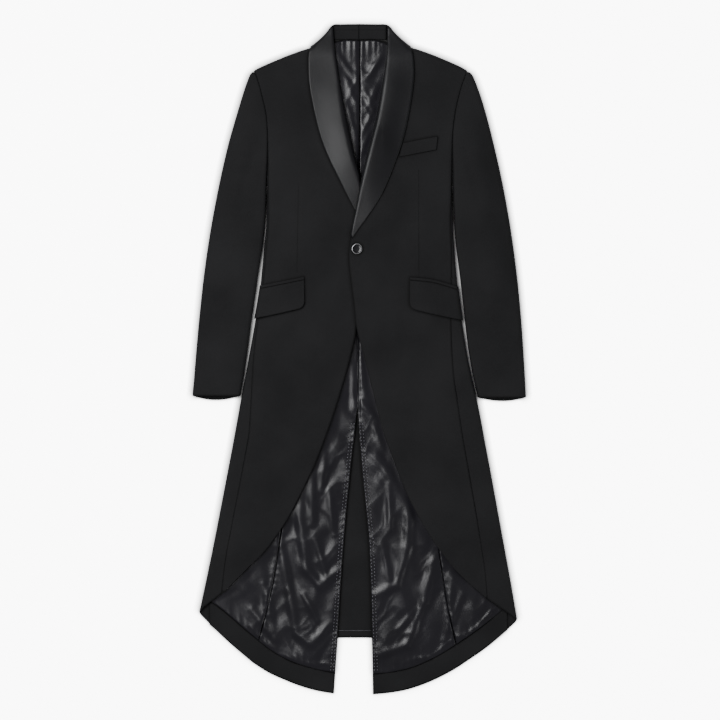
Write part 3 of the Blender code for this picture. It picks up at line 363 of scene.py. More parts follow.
@dataclass(frozen=True)
class CoatSide:
    """One half of the coat, with the shapes of its panels.

    The methods work in millimetres, with x measured outward from the centre line.
    """

    name: str

    def place(self, point: Point3) -> Point3:
        """Turn outward x, y and z in millimetres into scene metres."""
        x, y, z = point
        return SIGN[self.name] * x * METRE, y * METRE, z * METRE

    def lining_point(self, x: float, y: float) -> Point3:
        """Give a point on the lining's face, over the back."""
        z = back_rise(SIGN[self.name] * x, y, LINED_MARGIN) + WOOL + SEAM + LINING
        return self.place((x, y, z))

    def body_edge(self, y: float) -> float:
        """Give the outward x of the body's side fold, carried on inside the armhole above.

        Args:
            y: Place along the coat in mm.

        Returns:
            The outward x in millimetres.
        """
        if y >= ARMPIT_Y:
            return smooth_value(ARMHOLE[self.name], y) + armhole_reach(y)
        return smooth_value(BODY_EDGE[self.name], y)

    def wrap(self, y: float, distance: float) -> Point2:
        """Go round the side fold: a positive distance is on the top layer, a negative beneath.

        Args:
            y: Place along the coat in mm.
            distance: Distance round the fold in mm.

        Returns:
            Two values in millimetres.
        """
        radius = fold_radius(y)
        edge = self.body_edge(y)
        quarter = math.pi * radius / 2.0
        if abs(distance) <= quarter:
            angle = distance / radius
            return edge - radius + radius * math.cos(angle), radius + radius * math.sin(angle)
        x = edge - radius - (abs(distance) - quarter)
        return x, (2.0 * radius if distance > 0.0 else 0.0)

    def wrap_distance(self, y: float, x: float) -> float:
        """Give the distance round the fold of a point on the top layer, inside the fold."""
        radius = fold_radius(y)
        return self.body_edge(y) - radius - x + math.pi * radius / 2.0

    def crown(self, x: float, y: float) -> float:
        """Raise the middle of the body above its side folds.

        Args:
            x: Outward place in mm.
            y: Place along the coat in mm.

        Returns:
            The rise in millimetres.
        """
        inside = self.body_edge(y) - fold_radius(y) - x
        along = ease((y + 520.0) / 260.0)
        return BODY_CROWN * ease(inside / 70.0) * along

    def overlap_rise(self, x: float, y: float) -> float:
        """Lift the wearer's left front over the right front and its lapel.

        Args:
            x: Outward place in mm.
            y: Place along the coat in mm.

        Returns:
            The rise in millimetres.
        """
        if self.name == "right":
            return 0.0
        near = ease((84.0 - x) / 66.0)
        along = ease((500.0 - y) / 90.0) * ease((y + 30.0) / 70.0)
        lapel = ease((500.0 - y) / 90.0) * ease((y - 238.0) / 24.0)
        return near * (OVERLAP_LIFT * along * (1.0 - lapel) + LAPEL_LIFT * lapel)

    def front_height(self, x: float, y: float) -> float:
        """Give the height of the fronts' outer face away from their rolled edges."""
        base = 2.0 * fold_radius(y) + self.crown(x, y)
        return base + self.overlap_rise(x, y) - neck_drop(y)

    def front_point(self, x: float, y: float, extra: float = 0.0) -> Point3:
        """Give a point on a front's outer face, raised by an extra height.

        Args:
            x: Outward place in mm.
            y: Place along the coat in mm.
            extra: Extra height in mm.

        Returns:
            The point as outward x, y and z in millimetres.
        """
        z = self.front_height(x, y)
        distance = self.wrap_distance(y, x)
        radius = fold_radius(y)
        if distance < math.pi * radius / 2.0:
            inside = max(self.body_edge(y) - x, 0.0)
            part = 1.0 - min(inside / radius, 1.0)
            z = radius + (z - radius) * math.sqrt(max(1.0 - part * part, 0.0))
        share = roll_share(SHOULDER_LINE[self.name], x, y, FOLD_RADIUS, SHAWL_START)
        z = radius + (z - radius) * share
        return x, y, z + extra

    def front_grid(self) -> Grid:
        """Work out the rows of a front, from the shoulder down to the cutaway.

        Returns:
            Rows of scene points in metres.
        """
        stations = list(zip(INNER_ROWS, ARMHOLE_ROWS))
        stations += [(y, y) for y in FRONT_ROWS + (FRONT_END[self.name],)]
        steps = (0.0, 1.2, 4.5, 9.5, 15.5)
        inner = (0.12, 0.3, 0.48, 0.65, 0.8, 0.91, 1.0)
        rows = []
        for angle in ROLL_ANGLES:
            rows.append(("roll", FOLD_RADIUS * (1.0 - math.cos(angle)) / SHOULDER_SLOPE, angle))
        rows += [("row", station, None) for station in stations]
        grid = []
        for kind, value, angle in rows:
            y_in, y_out = stations[0] if kind == "roll" else value
            x_in = smooth_value(FRONT_EDGE[self.name], y_in) + 2.3 * ease((y_in - 246.0) / 20.0)
            line = []
            for j in range(len(steps) + len(inner)):
                share = j / (len(steps) + len(inner) - 1.0)
                y = mix(y_out, y_in, share)
                for _ in range(3):
                    start = seam_distance(y) if y >= ARMPIT_Y else (
                        smooth_value(SIDE_SEAM_TOP[self.name], y) + 0.5)
                    end = self.wrap_distance(y, x_in)
                    if j < len(steps):
                        distance = start + min(steps[j], (end - start) * (0.02, 0.06, 0.14, 0.22,
                                                                          0.3)[j] * (j > 0))
                    else:
                        begin = min(steps[-1], (end - start) * 0.4)
                        distance = mix(start + begin, end, inner[j - len(steps)])
                    x = self.wrap(y, distance)[0]
                    if kind == "roll":
                        y = smooth_value(SHOULDER_LINE[self.name], x) - value
                    else:
                        base = smooth_value(SHOULDER_LINE[self.name], x) - ROLL_RUN
                        flat = mix(stations[0][1], stations[0][0], share)
                        y = mix(y_out, y_in, share)
                        y += (base - flat) * ease((y_in - 455.0) / 163.0) * ease(share / 0.3)
                z = self.front_point(x, y)[2]
                if distance < math.pi * fold_radius(y) / 2.0:
                    z = self.wrap(y, distance)[1]
                    z = fold_radius(y) + (z - fold_radius(y)) * roll_share(
                        SHOULDER_LINE[self.name], x, y, FOLD_RADIUS, SHAWL_START)
                line.append(self.place((x, y, z)))
            grid.append(line)
        return grid

    def back_top(self, x: float) -> float:
        """Give the upper edge of the back, along the neck and then the shoulder."""
        return mix(NECK_SEAM_Y, smooth_value(SHOULDER_LINE[self.name], x), ease((x - 44.0) / 16.0))

    def back_seam(self, y: float, inset: float = 0.15) -> Point2:
        """Give the outward x and the fold distance of the back's outer seam.

        Args:
            y: Place along the coat in mm.
            inset: Distance kept from the seam in mm.

        Returns:
            Two values in millimetres.
        """
        if y >= ARMPIT_Y:
            distance = seam_distance(y)
        else:
            distance = smooth_value(SIDE_SEAM_BACK[self.name], y) + inset
        return self.wrap(y, -distance)[0], distance

    def back_grid(self) -> Grid:
        """Work out the rows of a back half, from the neck and shoulder down to the hem.

        Returns:
            Rows of scene points in metres.
        """
        shares = (0.0, 0.16, 0.36, 0.58, 0.8, 0.93, 1.0)
        rows = [("roll", angle) for angle in ROLL_ANGLES]
        rows += [("row", station) for station in zip(BACK_INNER_ROWS, ARMHOLE_ROWS)]
        rows += [("row", (y, y)) for y in BACK_ROWS]
        rows += [("tail", share) for share in TAIL_SHARES]
        grid = []
        for kind, value in rows:
            line = []
            for share in shares:
                y_in, y_out = value if kind == "row" else (TAIL_TOP, TAIL_TOP)
                if kind == "roll":
                    y_in, y_out = BACK_INNER_ROWS[0], ARMHOLE_ROWS[0]
                y = mix(y_in, y_out, share)
                for _ in range(6):
                    x_in = smooth_value(BACK_EDGE[self.name], y)
                    x_out, distance = self.back_seam(y)
                    x = mix(x_in, x_out, share)
                    top = self.back_top(x)
                    if kind == "roll":
                        y = top - FOLD_RADIUS * (1.0 - math.cos(value)) / SHOULDER_SLOPE
                    elif kind == "tail":
                        y = mix(TAIL_TOP, smooth_value(HEM_LINE[self.name], x), value)
                    else:
                        y = mix(y_in, y_out, share)
                        flat = mix(BACK_INNER_ROWS[0], ARMHOLE_ROWS[0], share)
                        y += (top - ROLL_RUN - flat) * ease(
                            (y_in - 440.0) / 186.0) * ease((1.0 - share) / 0.3)
                rise = back_rise(SIGN[self.name] * x, y)
                radius = fold_radius(y)
                z = rise
                if y >= ARMPIT_Y:
                    past = self.wrap_distance(y, x)
                    if past < math.pi * radius / 2.0:
                        past = max(past, distance)
                        z = self.wrap(y, -distance if share == 1.0 else -past)[1]
                roll = roll_share(SHOULDER_LINE[self.name], x, y, FOLD_RADIUS, SHAWL_START)
                z = radius - (radius - z) * roll
                line.append(self.place((x, y, z)))
            grid.append(line)
        return grid

    def side_end(self, distance_at: Callable[[float], float], start: float) -> float:
        """Find where a line round the fold meets the cutaway above or the hem beneath.

        Args:
            distance_at: Distance round the fold at a y.
            start: Value at the start.

        Returns:
            The y in millimetres.
        """
        corner = BODY_EDGE[self.name][-1].y + 0.5
        if distance_at(corner) <= 0.0:
            y = corner
            for _ in range(12):
                y = mix(y, smooth_value(HEM_LINE[self.name], self.wrap(y, distance_at(y))[0]), 0.6)
            return min(y, corner)
        low, high = corner, start
        for _ in range(40):
            middle = (low + high) / 2.0
            x = self.wrap(middle, distance_at(middle))[0]
            if x > smooth_value(FRONT_EDGE[self.name], middle):
                high = middle
            else:
                low = middle
        return (low + high) / 2.0

    def side_grid(self) -> Grid:
        """Work out the side-body panel, from its seam beneath, round the fold, to the front.

        Returns:
            Rows of scene points in metres.
        """
        columns = [("under", share) for share in (1.0, 0.5)]
        columns += [("arc", share) for share in (-1.0, -0.6, -0.2, 0.2, 0.6, 1.0)]
        columns += [("over", share) for share in (0.85, 1.0)]

        def distance_for(kind: str, share: float) -> Callable[[float], float]:
            """Give how a column's distance round the fold follows y."""
            def distance_at(y: float) -> float:
                """Give the distance round the fold at y."""
                seam = SIDE_SEAM_BACK if kind == "under" or share < 0.0 else SIDE_SEAM_TOP
                whole = smooth_value(seam[self.name], y) - 0.15
                arc = min(math.pi * fold_radius(y) / 2.0, 0.7 * whole)
                if kind == "arc":
                    return share * arc
                distance = arc + (whole - arc) * share
                return -distance if kind == "under" else distance
            return distance_at

        last = len(FRONT_ROWS)
        under_x = self.back_seam(TAIL_TOP, -0.15)[0]
        under = list(BACK_ROWS) + [mix(TAIL_TOP, smooth_value(HEM_LINE[self.name], under_x), share)
                                   for share in TAIL_SHARES]
        over = list(FRONT_ROWS) + [FRONT_END[self.name]]
        grid = [[] for _ in range(last + 2)]
        for number, column in enumerate(columns):
            distance_at = distance_for(*column)
            end = self.side_end(distance_at, -380.0)
            across = number / (len(columns) - 1.0)
            shift = end - mix(under[-1], over[-1], across)
            seam = number in (0, len(columns) - 1)
            for row in range(last + 2):
                if row == 0:
                    y = ARMPIT_Y - 0.4
                else:
                    y = mix(under[row - 1], over[row - 1], across)
                    part = max(row - 9.0, 0.0) / (last - 8.0)
                    y += shift * (part * part if not seam else float(row == last + 1))
                distance = distance_at(y)
                x, z = self.wrap(y, distance)
                if column[0] == "over":
                    z += self.crown(x, y)
                grid[row].append(self.place((x, y, z)))
        return grid

    def sleeve_section(self, y: float, angle: float, inner: bool) -> Point2:
        """Give a point on the rolled edge of a sleeve at an angle from its outermost line.

        Args:
            y: Place along the coat in mm.
            angle: Angle from the outermost line.
            inner: Whether this is the inner fold.

        Returns:
            Two values in millimetres.
        """
        if y >= ARMPIT_Y:
            hole = smooth_value(ARMHOLE[self.name], y) + 0.17
            edge_in = hole - armhole_reach(y)
        else:
            edge_in = smooth_value(SLEEVE_INNER[self.name], y)
            hole = edge_in
        edge_out = smooth_value(SLEEVE_OUTER[self.name], y)
        inside = (576.6 - y) * SHOULDER_SLOPE
        part = 1.0 - min(max(inside / FOLD_RADIUS, 0.0), 1.0)
        half = FOLD_RADIUS * math.sqrt(max(1.0 - part * part, 0.02))
        room = min(FOLD_RADIUS, 0.42 * (edge_out - hole))
        z = FOLD_RADIUS + half * math.sin(angle)
        if not inner:
            return edge_out - room + room * math.cos(angle), z
        start = edge_in + FOLD_RADIUS
        if y >= ARMPIT_Y:
            x = edge_in + FOLD_RADIUS * (1.0 - math.cos(angle))
            return max(hole, min(x, hole + room)), z
        return start - FOLD_RADIUS * math.cos(angle), z

    def sleeve_grid(self, under: bool) -> Grid:
        """Work out the top sleeve over both rolled edges, or the under sleeve between them.

        Args:
            under: Whether this is the under sleeve.

        Returns:
            Rows of scene points in metres.
        """
        sense = -1.0 if under else 1.0
        past = math.radians(30.5) if under else math.radians(-25.0)
        cuff = {"right": (-73.5, -81.4), "left": (-76.5, -83.4)}[self.name]
        flat = (0.33, 0.67) if under else (0.25, 0.5, 0.75)
        arc = (0.0, 0.1, 0.45, 1.0) if under else (0.0, 0.08, 0.32, 0.65, 1.0)
        columns = [("inner", share) for share in arc] + [("flat", share) for share in flat]
        columns += [("outer", share) for share in reversed(arc)]
        stations = [573.0, 570.5] + list(ARMHOLE_ROWS)
        stations += [345.0, 330.0, 300.0, 240.0, 170.0, 90.0, 10.0, -45.0, None]
        grid = []
        for station in stations:
            line = []
            for kind, share in columns:
                end = cuff[0]
                if under:
                    across = {"inner": 0.08 * share, "flat": 0.08 + 0.84 * share,
                              "outer": 1.0 - 0.08 * share}[kind]
                    end = mix(cuff[0], cuff[1], math.sin(math.pi * across))
                y = end if station is None else station
                seam = 0.3
                if y >= ARMPIT_Y:
                    reach = max(armhole_reach(y), 0.0)
                    seam = max(math.acos(1.0 - reach / FOLD_RADIUS), 0.3)
                first = past
                if kind == "inner":
                    first = mix(seam, past, ease((348.0 - y) / 20.0)) if y < 348.0 else seam
                if kind == "flat":
                    x_in = self.sleeve_section(y, math.pi / 2.0, True)[0]
                    x_out = self.sleeve_section(y, math.pi / 2.0, False)[0]
                    x, z = mix(x_in, x_out, share), self.sleeve_section(y, math.pi / 2.0, False)[1]
                    z = FOLD_RADIUS + sense * (z - FOLD_RADIUS)
                    if not under:
                        z += SLEEVE_CROWN * math.sin(math.pi * share) * ease((560.0 - y) / 120.0)
                else:
                    angle = mix(first, math.pi / 2.0, share)
                    x, z = self.sleeve_section(y, angle, kind == "inner")
                    z = FOLD_RADIUS + sense * (z - FOLD_RADIUS)
                line.append(self.place((x, y, z)))
            grid.append(line)
        return grid

    def lapel_height(self, x: float, y: float) -> float:
        """Give the height of the lapel's outer face over the front, rolled at the collar.

        Args:
            x: Outward place in mm.
            y: Place along the coat in mm.

        Returns:
            The height in millimetres.
        """
        z = self.front_height(x, y) + SHAWL_LIFT
        share = roll_share(COLLAR_LINE[self.name], x, y, 0.5 * z, 40.0)
        return z * (0.53 + 0.47 * share)

    def shawl_grid(self) -> Grid:
        """Work out the rows of a lapel, from the collar down to its tip at the button.

        Returns:
            Rows of scene points in metres.
        """
        rows = [(663.5, 56.5), (656.0, 63.0), (647.0, 71.0), (637.0, 80.0), (628.0, 89.0)]
        shoulder_x = 97.5
        if self.name == "left":
            rows = [(663.5, 62.0), (656.0, 68.5), (647.0, 77.0), (637.0, 86.0), (628.0, 95.0)]
            shoulder_x = 103.5
        collar_rows = len(rows)
        edge = LAPEL_EDGE[self.name]
        lowest = edge[-1].y
        stations = [617.0, 606.0, 594.0, 575.0, 545.0, 510.0, 472.0, 434.0, 396.0, 360.0, 328.0,
                    302.0, 284.0, 270.0, 258.0, lowest]
        rows += [(min(y + 4.0, y * 0.98 + 12.0), None) for y in stations if y >= lowest]
        grid = []
        for index, (y_in, x_silhouette) in enumerate(rows):
            x_in = smooth_value(FRONT_EDGE[self.name], y_in)
            if x_silhouette is not None:
                x_out = x_silhouette
                y_out = smooth_value(COLLAR_LINE[self.name], x_out)
            else:
                y_out = [y for y in stations if y >= lowest][index - collar_rows]
                if y_out > edge[0].y:
                    x_out = mix(edge[0].x, shoulder_x, (y_out - edge[0].y) / 21.0)
                else:
                    x_out = smooth_value(edge, y_out)
            length = math.hypot(x_out - x_in, y_out - y_in)
            tail = min(1.0, length / 24.0)
            places = [("drop", 2)] + [("drop", 1)] + [("at", 0.6 * tail)]
            places += [("share", share) for share in (0.25, 0.5, 0.75)]
            places += [("back", step * tail) for step in (5.6, 2.6, 0.8, 0.0)]
            line = []
            for kind, value in places:
                distance = {"drop": 0.0, "at": value, "back": length - value}.get(kind, 0.0)
                if kind == "share":
                    distance = mix(0.6 * tail, length - 5.6 * tail, value)
                part = distance / length
                x, y = mix(x_in, x_out, part), mix(y_in, y_out, part)
                z = self.lapel_height(x, y)
                if kind == "drop":
                    x -= {1: 1.5, 2: 2.1}[value]
                    z -= {1: 1.3, 2: 3.9}[value]
                if kind == "at":
                    z -= 0.2
                line.append(self.place((x, y, z)))
            grid.append(line)
        return grid

    def fall_grid(self) -> Grid:
        """Work out the collar's fall behind the neck, up to the middle of its fold.

        Returns:
            Rows of scene points in metres.
        """
        ends = {"right": (97.0, 101.5), "left": (103.0, 108.0)}[self.name]
        grid = []
        limit = STAND_END[self.name]
        outer = [0.2, 18.0, 36.0, limit, limit + 6.0, limit + 13.0, 72.0, 81.0, 89.0, ends[0]]
        for number, x_fold in enumerate(outer):
            y_fold = smooth_value(COLLAR_LINE[self.name], x_fold)
            share = number / (len(outer) - 1.0)
            x_low = mix(0.2, ends[1], share)
            y_low = mix(597.0, 606.0, share)
            height = STAND_HEIGHT
            if x_fold > limit:
                full = self.front_height(x_fold, y_fold) + SHAWL_LIFT
                height = mix(STAND_HEIGHT, full, ease((x_fold - limit) / 6.0))
            radius = height / 2.0 - 0.17
            run = math.hypot(x_fold - x_low, y_fold - y_low)
            ux, uy = (x_fold - x_low) / run, (y_fold - y_low) / run
            line = []
            for amount in (0.0, 0.35, 0.7, 0.88):
                line.append((x_low + ux * (run - radius) * amount,
                             y_low + uy * (run - radius) * amount, 0.0))
            for angle in (0.0, 30.0, 60.0, 80.0, 85.0):
                turn = math.radians(angle)
                reach = run - radius + radius * math.sin(turn)
                line.append((x_low + ux * reach, y_low + uy * reach,
                             radius * (1.0 - math.cos(turn))))
            grid.append([self.place(point) for point in line])
        return grid

    def stand_grid(self) -> Grid:
        """Work out the collar's stand inside the neck, from the middle of its fold.

        Returns:
            Rows of scene points in metres.
        """
        limit = STAND_END[self.name]
        grid = []
        radius = STAND_HEIGHT / 2.0
        for share in spread(6):
            x = mix(0.2, limit, share)
            y_fold = smooth_value(COLLAR_LINE[self.name], x)
            line = []
            for angle in (5.0, 10.0, 32.0, 60.0, 88.0):
                turn = math.radians(angle)
                line.append((x, y_fold - radius + radius * math.cos(turn),
                             radius + radius * math.sin(turn)))
            for y in (658.0, 648.0, 638.2):
                line.append((x, y, STAND_HEIGHT))
            grid.append([self.place(point) for point in line])
        return grid

    def lining_back_grid(self) -> Grid:
        """Work out the lining of a back half, from the neck to the hem facing.

        Returns:
            Rows of scene points in metres.
        """
        stations = [0.0, 0.04, 0.1, 0.17, 0.26, 0.37, 0.48] + [0.57 + 0.043 * i for i in range(11)]
        grid = []
        for t in stations:
            line = []
            for share in spread(8):
                y = mix(NECK_SEAM_Y - 0.5, -600.0, t)
                for _ in range(8):
                    x_in = smooth_value(BACK_EDGE[self.name], y) + 1.2 * ease((-118.0 - y) / 6.0)
                    x_out = self.back_seam(y)[0]
                    if y > 300.0:
                        x_out = min(x_out, smooth_value(ARMHOLE[self.name], y) - 14.0)
                    x = mix(x_in, x_out, share)
                    top = min(NECK_SEAM_Y - 0.5, self.back_top(x) - 10.0 * ease((x - 60.0) / 14.0))
                    low = smooth_value(FACING_LINE[self.name], x) + SEAM
                    y = mix(top, low, t)
                line.append(self.lining_point(x, y))
            grid.append(line)
        return grid

    def lining_side_grid(self) -> Grid:
        """Work out the lining of a side-body, where it shows between cutaway and facing.

        Returns:
            Rows of scene points in metres.
        """
        grid = []
        for t in spread(12):
            line = []
            for share in spread(8):
                y = -400.0
                for _ in range(8):
                    x_in = self.back_seam(y, -0.3)[0]
                    x_out = self.body_edge(y) - fold_radius(y) - 3.0
                    x = mix(x_in, x_out, share)
                    low = smooth_value(FACING_LINE[self.name], x) + SEAM
                    y = mix(-285.0, low, t)
                line.append(self.lining_point(x, y))
            grid.append(line)
        return grid

    def facing_grid(self) -> Grid:
        """Work out the strip of cloth along the inside of a tail's hem.

        Returns:
            Rows of scene points in metres.
        """
        last = 299.0 if self.name == "right" else 297.0
        grid = []
        for share in spread(16):
            line = []
            for across in spread(4):
                x = 100.0
                y = -600.0
                for _ in range(8):
                    x = mix(smooth_value(BACK_EDGE[self.name], y) + 1.0, last, share)
                    y = mix(smooth_value(FACING_LINE[self.name], x),
                            smooth_value(HEM_LINE[self.name], x) + 1.6, across)
                z = back_rise(SIGN[self.name] * x, y, LINED_MARGIN) + WOOL + SEAM + LINING
                line.append(self.place((x, y, z)))
            grid.append(line)
        return grid

    def pocket_point(self, x: float, y: float, round_fold: float, lift: float) -> Point3:
        """Give a point over the front, moved out along the cloth's normal.

        A positive round_fold is the angle gone round the side fold from the top.

        Args:
            x: Outward place in mm.
            y: Place along the coat in mm.
            round_fold: Angle gone round the fold.
            lift: Height over the cloth in mm.

        Returns:
            The point as outward x, y and z in millimetres.
        """
        if round_fold <= 0.0:
            return self.place((x, y, self.front_point(x, y)[2] + lift))
        radius = fold_radius(y)
        angle = math.pi / 2.0 - round_fold
        x, z = self.wrap(y, radius * angle)
        return self.place((x + lift * math.cos(angle), y, z + lift * math.sin(angle)))

    def pocket_grid(self, kind: str) -> Grid:
        """Work out a flap or the jet above it, from its inner end to the side fold.

        Args:
            kind: Which piece of the pocket.

        Returns:
            Rows of scene points in metres.
        """
        table = FLAPS[self.name]
        start = table["top"][0].x
        offsets = [0.0, 0.08, 0.35, 0.68, 1.0] if kind == "flap" else [0.0, 1.0]
        steps = [(step, 0.0) for step in (0.0, 1.5, 4.0, 7.5, 11.0, 24.0, 42.0, 60.0)]
        steps += [(None, angle) for angle in (0.0, 0.4, 0.8, 1.2)]
        grid = []
        for step, angle in steps:
            line = []
            for share in offsets:
                y = 120.0
                for _ in range(6):
                    fold = self.body_edge(y) - fold_radius(y)
                    x = fold + fold_radius(y) * angle if step is None else start + step
                    top = smooth_value(table["top"], x)
                    low = smooth_value(table["bottom"], x)
                    if step is not None:
                        round_off = max(FLAP_CORNER - step, 0.0)
                        low += FLAP_CORNER - math.sqrt(FLAP_CORNER ** 2 - round_off ** 2)
                    if kind == "jet":
                        low, top = top + SEAM, top + SEAM + JET_HEIGHT
                    y = mix(top, low, share)
                line.append(self.pocket_point(x, y, angle, SEAM + TRIM + 0.15))
            grid.append(line)
        return grid


def underlap_grid() -> Grid:
    """Work out the plain panel behind the vent.

    Returns:
        Rows of scene points in metres.
    """
    side = CoatSide("left")
    grid = []
    for t in spread(8):
        y = mix(-100.0, -556.8, t)
        left, right = mix(-26.0, -65.0, t), mix(22.0, 49.0, t)
        grid.append([side.place((mix(left, right, share), y, TRIM)) for share in spread(5)])
    return grid


def welt_grid() -> Grid:
    """Work out the breast pocket's welt on the wearer's left front.

    Returns:
        Rows of scene points in metres.
    """
    side = CoatSide("left")
    grid = []
    for share in spread(8):
        line = []
        for across in (0.0, 0.5, 1.0):
            top_in, top_out = WELT["top"]
            low_in, low_out = WELT["bottom"]
            x = mix(mix(top_in.x, top_out.x, share), mix(low_in.x, low_out.x, share), across)
            y = mix(mix(top_in.y, top_out.y, share), mix(low_in.y, low_out.y, share), across)
            line.append(side.pocket_point(x, y, 0.0, SEAM + TRIM + 0.1))
        grid.append(line)
    return grid


def srgb(code: str) -> tuple[float, float, float, float]:
    """Convert an sRGB hex code to a linear colour.

    Args:
        code: Six hex digits after a hash.

    Returns:
        Linear red, green, blue and alpha.
    """
    values = [int(code[i:i + 2], 16) / 255.0 for i in (1, 3, 5)]
    linear = [v / 12.92 if v <= 0.04045 else ((v + 0.055) / 1.055) ** 2.4 for v in values]
    return linear[0], linear[1], linear[2], 1.0


class Weave(Enum):
    """Ways that a cloth is woven."""

    TWILL = "twill"
    SATIN = "satin"


@dataclass(frozen=True)
class ClothFinish:
    """How a cloth is woven and how it takes the light."""

    name: str
    slot: str
    weave: Weave
    base: str
    shade: str
    roughness: float
    sheen: float
    sheen_tint: str
    thread_mm: float
    bump: float
    specular: float = 0.5
    anisotropic: float = 0.0


@dataclass(frozen=True)
class HardFinish:
    """How a moulded or metal piece takes the light."""

    name: str
    slot: str
    base: str
    metallic: float
    roughness: float
    scratch_mm: float


# Worsted wool twill, pressed and not glossy: a deep, dry black with a faint bloom of nap. Its
# ribs, 0.35 mm on the real cloth, are drawn 0.9 mm apart to show at all.
WORSTED_TWILL = ClothFinish("worsted_twill_black", "black_wool", Weave.TWILL, "#272729", "#1a1a1c",
                            0.82, 0.22, "#6c6c72", 0.9, 0.25, 0.35)
# Duchess satin, calendered: a smooth black that lightens softly where the lapel rolls. Its
# floats, under 0.2 mm, are drawn 0.5 mm apart.
DUCHESS_SATIN = ClothFinish("duchess_satin_black", "black_satin", Weave.SATIN, "#252528",
                            "#1e1e21", 0.38, 0.10, "#77777c", 0.5, 0.10, 0.36, 0.35)
# Thin viscose satin: charcoal, with sharp highlights on its crumples and dark hollows between.
# Its floats, under 0.2 mm, are drawn 0.4 mm apart.
LINING_SATIN = ClothFinish("viscose_satin_charcoal", "charcoal_lining", Weave.SATIN, "#2c2b31",
                           "#252429", 0.27, 0.08, "#8b8992", 0.4, 0.08, 0.46, 0.3)
# Black twisted silk coloured pale grey: a painted highlight showing the puckers as small pale
# dashes.
PALE_PAINTED_SILK_THREAD = ClothFinish("silk_thread_painted_highlight", "black_satin", Weave.SATIN, "#8d8c96", "#75747d",
                          0.40, 0.3, "#8b8992", 0.3, 0.1, 0.6)
# Stamped steel, polished and lightly rubbed: the thin bright ring round the button.
POLISHED_STEEL = HardFinish("polished_steel", "silver_metal", "#dcdcdf", 1.0, 0.42, 0.4)
# Cast polyester resin, polished: the button's glossy black face.
BLACK_RESIN = HardFinish("cast_resin_black", "button_black", "#1b1b1f", 0.0, 0.2, 0.8)


# Painted shade where cloths meet: how far it reaches over the cloth in millimetres, and how fast
# it deepens.
PAINTED_SHADE_REACH = 7.0
PAINTED_SHADE_DEPTH = 3.0


